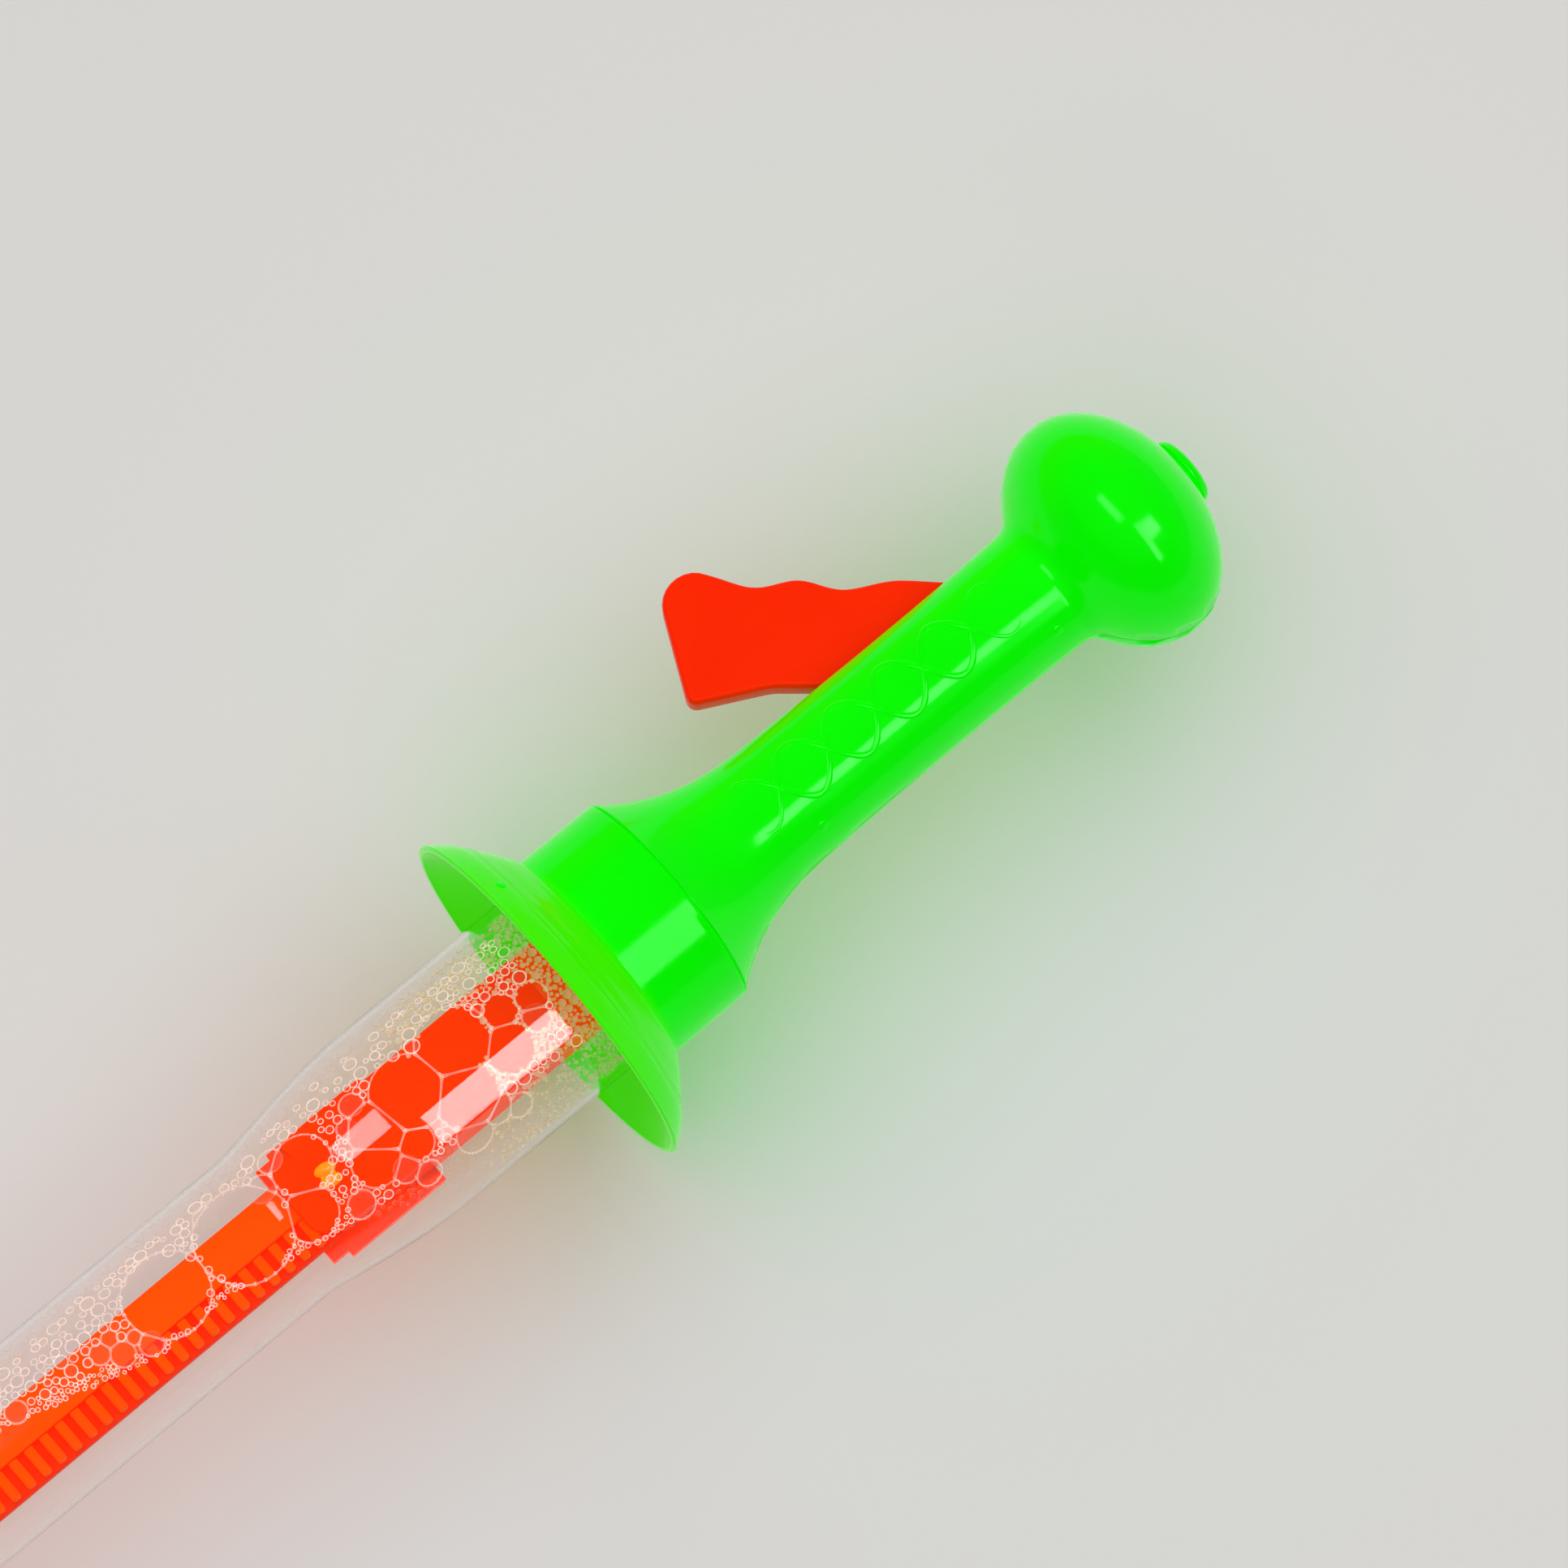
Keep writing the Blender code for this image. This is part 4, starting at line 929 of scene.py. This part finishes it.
foamShape = {
    "pixel": 0.000162, "swell": 1.22,   # metres to a pixel, and how much larger the cells are made
    # large cells: place in the picture and radius in it
    "cells": ((558, 1284, 40), (616, 1247, 19), (655, 1229, 17), (661, 1253, 15), (629, 1292, 27),
              (576, 1350, 36), (503, 1345, 40), (513, 1408, 19), (464, 1392, 30), (371, 1435, 32),
              (464, 1431, 26), (385, 1496, 28), (446, 1484, 15), (501, 1440, 15), (529, 1445, 14),
              (585, 1398, 20), (613, 1366, 17), (641, 1361, 14), (334, 1431, 14), (433, 1362, 13),
              (428, 1391, 11), (300, 1520, 52), (204, 1594, 46), (187, 1655, 13), (152, 1669, 13),
              (123, 1669, 11), (166, 1648, 8), (135, 1650, 9), (20, 1740, 12), (322, 1466, 16),
              (255, 1500, 15)),
    "cellSides": 28, "cellReach": 2.6, "cellDome": (0.95, 0.0009), "domedBelow": 0.0033,
    "cellDomeMesh": (24, 5),
    "sightStart": 0.25, "sightRounds": 6,   # the search for the wall begins with its radius there
    # film edges: thin in the middle, thick where they meet
    "edge": 0.00018, "node": 0.00042, "nodePower": 5, "edgeSides": 6, "edgeSteps": 6, "shortSteps": 2,
    "shortEdge": 0.002, "shortest": 0.0001, "sameEdge": 4000,
    # bubbles: skin's distance from the wall, dome height, and the ring where the skin meets the wall
    "skinGap": 0.00005, "domeShare": 0.9, "domeLimit": 0.0006, "domeMesh": (18, 4), "turned": 0.75,
    "ring": 0.00012, "ringGrowth": (0.7, 300), "ringSides": 18, "ringBead": 4,
    "rimDome": 0.8, "rimDomeMesh": (14, 3),
}

# froth places: along the wand from the guard's rim, and across it, in the picture
frothShape = {
    "seed": 11, "rim": (681, 1231), "axis": (0.76448, 0.64465), "upper": 118,
    "lower": ((-1000, 60), (-859, 38), (-646, -20), (-552, -15), (-391, -41), (-241, -94), (-12, -98)),
    "tries": 60000, "count": 620, "along": (-950, -8), "belowLimit": 6, "spanX": (0.006, 0.2965),
    "widest": 1.35,
    "limitBand": 10, "guardBand": -110, "upperBand": 62, "baseBand": -650,
    # smallest and largest radius, and the share that stays
    "byLimit": (0.0003, 0.0006, 1.0), "byGuard": (0.0005, 0.0015, 1.0), "onTop": (0.0005, 0.0016, 0.3),
    "byBase": (0.0007, 0.0015, 0.9), "elsewhere": (0.0004, 0.0010, 0.6),
    "clear": (0.9, 0.6, 0.95),   # shares of a cell's radius, of the bubble's own, of two bubbles' together
    "rimTries": 20000, "rimReach": 190, "rimFade": 150, "rimEnd": 26, "rimAcross": (-112, 118),
    "plugX": 0.2972,
    "rimRadius": (0.0003, 0.0010), "rimClear": (0.85, 0.5, 0.85),
}


def wallPlace(px, py):
    # where the line of sight through a place in the picture meets the tube's inner wall
    half = cameraView["frame"] / 2
    scale = cameraView["sensor"] / cameraView["lens"] / cameraView["frame"]
    ray = (camRight * ((px - half) * scale) - camUp * ((py - half) * scale) - viewDir).normalized()
    radius = tubeInner(foamShape["sightStart"])
    for _ in range(foamShape["sightRounds"]):
        a = ray.y ** 2 + ray.z ** 2
        b = 2 * (camPlace.y * ray.y + camPlace.z * ray.z)
        c = camPlace.y ** 2 + camPlace.z ** 2 - radius ** 2
        d = b * b - 4 * a * c
        if d < 0:
            return None
        at = camPlace + ray * ((-b - sqrt(d)) / (2 * a))
        radius = tubeInner(at.x)
    return at.x, atan2(at.y, at.z)


def wallPoint(x, angle, lift):
    out = Vector((0, sin(angle), cos(angle)))
    return Vector((x, 0, 0)) + out * (tubeInner(x) - lift), -out


def frothPlace(along, over):
    (x, y), (run, rise) = frothShape["rim"], frothShape["axis"]
    return wallPlace(x + run * along - rise * over, y - rise * along - run * over)


def unrolled(place):
    return Vector((place[0], place[1] * tubeInner(place[0])))


def crowded(here, radius, cells, bubbles, shares):
    ofCell, ofOwn, apart = shares
    if any((here - o).length < ofCell * r + radius * ofOwn for o, r in cells):
        return True
    return any((here - o).length < apart * (radius + r) for o, r in bubbles)


def frothSize(along, over, low):
    f = frothShape
    if over < low + f["limitBand"]:
        return f["byLimit"]
    if along > f["guardBand"]:
        return f["byGuard"]
    if over > f["upperBand"]:
        return f["onTop"]
    if along < f["baseBand"]:
        return f["byBase"]
    return f["elsewhere"]


def placeFroth(large):
    # small bubbles, thick by the rim, the upper wall and the lower limit, and none inside the large cells
    f = frothShape
    draw = random.Random(f["seed"])
    taken = []
    for _ in range(f["tries"]):
        along = draw.uniform(*f["along"])
        low = heightAt(f["lower"], along)
        over = draw.uniform(low - f["belowLimit"], f["upper"])
        spot = frothPlace(along, over)
        if spot is None or not f["spanX"][0] < spot[0] < f["spanX"][1] or abs(spot[1]) > f["widest"]:
            continue
        smallest, largest, share = frothSize(along, over, low)
        radius = draw.uniform(smallest, largest)
        if draw.random() > share:
            continue
        here = unrolled(spot)
        if crowded(here, radius, large, taken, f["clear"]):
            continue
        taken.append((here, radius))
        if len(taken) == f["count"]:
            break
    return taken


def placeRimFroth(large, small):
    # dense small bubbles where the liquid has run up to the guard, thinning out away from it
    f = frothShape
    draw = random.Random(f["seed"] + 1)
    taken = []
    for _ in range(f["rimTries"]):
        along, over = draw.uniform(-f["rimReach"], f["rimEnd"]), draw.uniform(*f["rimAcross"])
        radius = draw.uniform(*f["rimRadius"])
        spot = frothPlace(along, over)
        if spot is None or spot[0] + radius > f["plugX"]:
            continue
        if draw.random() > (along + f["rimReach"]) / f["rimFade"]:
            continue
        here = unrolled(spot)
        if not crowded(here, radius, large, small + taken, f["rimClear"]):
            taken.append((here, radius))
    return taken


def cellOutline(index, seeds):
    # the part of a round cell that lies nearer to its own bubble than to its neighbours
    here, size = seeds[index]
    outline = [here + Vector(step) * size for step in circlePoints(foamShape["cellSides"])]
    for number, (other, reach) in enumerate(seeds):
        away = other - here
        apart = away.length
        if number == index or apart > size + reach * foamShape["cellReach"]:
            continue
        limit = (apart ** 2 + size ** 2 - reach ** 2) / (2 * apart)
        away = away / apart
        kept = []
        for p, q in zip(outline, outline[1:] + outline[:1]):
            dp, dq = (p - here).dot(away) - limit, (q - here).dot(away) - limit
            if dp <= 0:
                kept.append(p)
            if dp * dq < 0:
                kept.append(p + (q - p) * (dp / (dp - dq)))
        outline = kept
        if len(outline) < 3:
            return []
    return outline


def addFilmEdge(bm, p, q):
    f = foamShape
    stations, radii = [], []
    long = (p - q).length > f["shortEdge"]
    steps = f["edgeSteps"] if long else f["shortSteps"]
    for k in range(steps + 1):
        u = k / steps
        at = p + (q - p) * u
        radius = f["edge"]
        if long:
            radius += (f["node"] - radius) * abs(2 * u - 1) ** f["nodePower"]
        stations.append(wallPoint(at.x, at.y / tubeInner(at.x), radius))
        radii.append(radius)
    sweepPath(bm, stations, radii, f["edgeSides"])


def makeFilmCells(seeds, count):
    f = foamShape
    bm = bmesh.new()
    drawn = set()
    for index in range(count):
        outline = cellOutline(index, seeds)
        for p, q in zip(outline, outline[1:] + outline[:1]):
            middle = (p + q) / 2
            key = (round(middle.x * f["sameEdge"]), round(middle.y * f["sameEdge"]))
            if key in drawn or (p - q).length < f["shortest"]:
                continue
            drawn.add(key)
            addFilmEdge(bm, p, q)
    print("film edges:", len(drawn))
    return bm


def addDome(bm, here, radius, height, sides, rows):
    # a bubble's skin, standing in from the wall
    wall = tubeInner(here.x)
    rings = []
    for row in range(rows + 1):
        e = pi / 2 * row / rows
        lift = foamShape["skinGap"] + height * sin(e)
        rings.append(addCircle(bm, sides, radius * cos(e),
                               lambda c, s: wallPoint(here.x + c, (here.y + s) / wall, lift)[0]))
    bridgeRings(bm, rings)


def addRing(bm, here, radius):
    # the bright edge where a bubble meets the wall
    f = foamShape
    base, growth = f["ringGrowth"]
    thick = f["ring"] * (base + growth * radius)
    wall = tubeInner(here.x)
    stations = [wallPoint(here.x + radius * c, (here.y + radius * s) / wall, thick)
                for c, s in circlePoints(f["ringSides"])]
    sweepPath(bm, stations, [thick] * len(stations), f["ringBead"], closed=True)


def makeFoam():
    f = foamShape
    large = []
    for px, py, size in f["cells"]:
        large.append((unrolled(wallPlace(px, py)), size * f["pixel"] * f["swell"]))
    small = placeFroth(large)
    dense = placeRimFroth(large, small)
    filmCells = makeFilmCells(large + small + dense, len(large))
    froth, rings, rim = bmesh.new(), bmesh.new(), bmesh.new()
    for here, radius in small:
        turned = abs(here.y / tubeInner(here.x)) > f["turned"]
        height = radius if turned else min(radius * f["domeShare"], f["domeLimit"])
        addDome(froth, here, radius, height, *f["domeMesh"])
        if not turned:
            addRing(rings, here, radius)
    for here, radius in dense:
        addDome(rim, here, radius, radius * f["rimDome"], *f["rimDomeMesh"])
    share, height = f["cellDome"]
    for here, radius in large:
        if radius < f["domedBelow"]:
            addDome(froth, here, radius * share, height, *f["cellDomeMesh"])
    addObject("foamFilmEdges", filmCells, "wetFilmEdge", "tube", 0)
    addObject("foamRimFroth", rim, "denseFroth", "tube", 0)
    addObject("foamFrothEdges", rings, "wetFrothEdge", "tube", 0)
    addObject("foamFroth", froth, "bubbleFilm", "tube", 0)
    print("froth bubbles:", len(small), "and at the rim:", len(dense))


makeFoam()
print("foam made")


# Stage: level pale floor under the guard's rim, soft daylight from the windows

stageLook = {
    "floorSize": 9, "floorGap": 0.0003, "floorColour": (0.83, 0.835, 0.845), "floorRoughness": 0.85,
    "skyColour": (1.0, 0.99, 0.975), "sky": 0.27, "overhead": 0.05, "overheadRamp": (0.0, 0.7),
    "warmColour": (1.0, 0.62, 0.12), "warm": 0.6, "warmRamp": (0.2, 0.9),
    "ceilingX": 0.3, "ceilingHeight": 3.2, "ceilingSize": 9.0, "ceilingLight": 0.97,
    # window panes: start and end along the wand, lean from the view toward the far side, height, brightness
    "panes": ((0.395, 0.487, 29, 0.98, 13.0), (0.514, 0.5268, 29, 0.98, 13.0), (0.5292, 0.575, 29, 0.9, 13.0),
              (0.592, 1.25, 20, 0.4, 13.0), (0.0, 0.24, -16, 0.7, 8.0)),
    "paneDistance": 1.4,
}


def makeFloor():
    bpy.ops.mesh.primitive_plane_add(size=stageLook["floorSize"])
    floor = bpy.context.object
    floor.name = "paleFloor"
    floor.location = (guardShape["rimX"], 0, -guardShape["radius"] - stageLook["floorGap"])
    made, tree, shader = newMaterial("paleFloor")
    feed(tree, shader, Base_Color=stageLook["floorColour"], Roughness=stageLook["floorRoughness"])
    floor.data.materials.append(made)


def areaLight(name, place, toward, wide, high, brightness):
    data = bpy.data.lights.new(name, "AREA")
    data.shape = "RECTANGLE"
    data.size, data.size_y = wide, high
    data.energy = brightness * pi * wide * high
    lamp = addThing(name, data)
    lamp.matrix_world = standAt(place, alongX, toward.cross(alongX).normalized(), toward)
    lamp.visible_camera = False
    return lamp


def makeLights():
    look = stageLook
    up = Vector((0, 0, 1))
    ceilingPlace = alongX * look["ceilingX"] + up * look["ceilingHeight"]
    ceiling = areaLight("softCeiling", ceilingPlace, up, look["ceilingSize"], look["ceilingSize"],
                        look["ceilingLight"])
    ceiling.visible_glossy = ceiling.visible_transmission = False
    for number, (begin, end, lean, high, brightness) in enumerate(look["panes"], 1):
        toward = upward * cos(radians(lean)) - across * sin(radians(lean))
        place = alongX * ((begin + end) / 2) + toward * look["paneDistance"]
        pane = areaLight("windowPane%d" % number, place, toward, end - begin, high, brightness)
        pane.visible_diffuse = False


def makeSky():
    # pale round the sides, warmer on the trigger's side, dim overhead
    look = stageLook
    world = bpy.data.worlds.new("softDaylight")
    world.use_nodes = True
    tree = world.node_tree
    where = addNode(tree, "ShaderNodeTexCoord").outputs["Generated"]

    def share(toward, ramp):
        lean = mathNode(tree, "DOT_PRODUCT", where, toward, "ShaderNodeVectorMath", "Value")
        return smoothRamp(tree, lean, *ramp)

    plain = tuple(c * look["sky"] for c in look["skyColour"])
    warm = tuple(c * look["warm"] for c in look["warmColour"])
    sides = mixColours(tree, share(across, look["warmRamp"]), plain, warm)
    whole = mixColours(tree, share(viewDir, look["overheadRamp"]), sides, (look["overhead"],) * 3)
    feed(tree, tree.nodes["Background"], Color=whole)
    scene.world = world


makeFloor()
makeLights()
makeSky()
print("stage set")
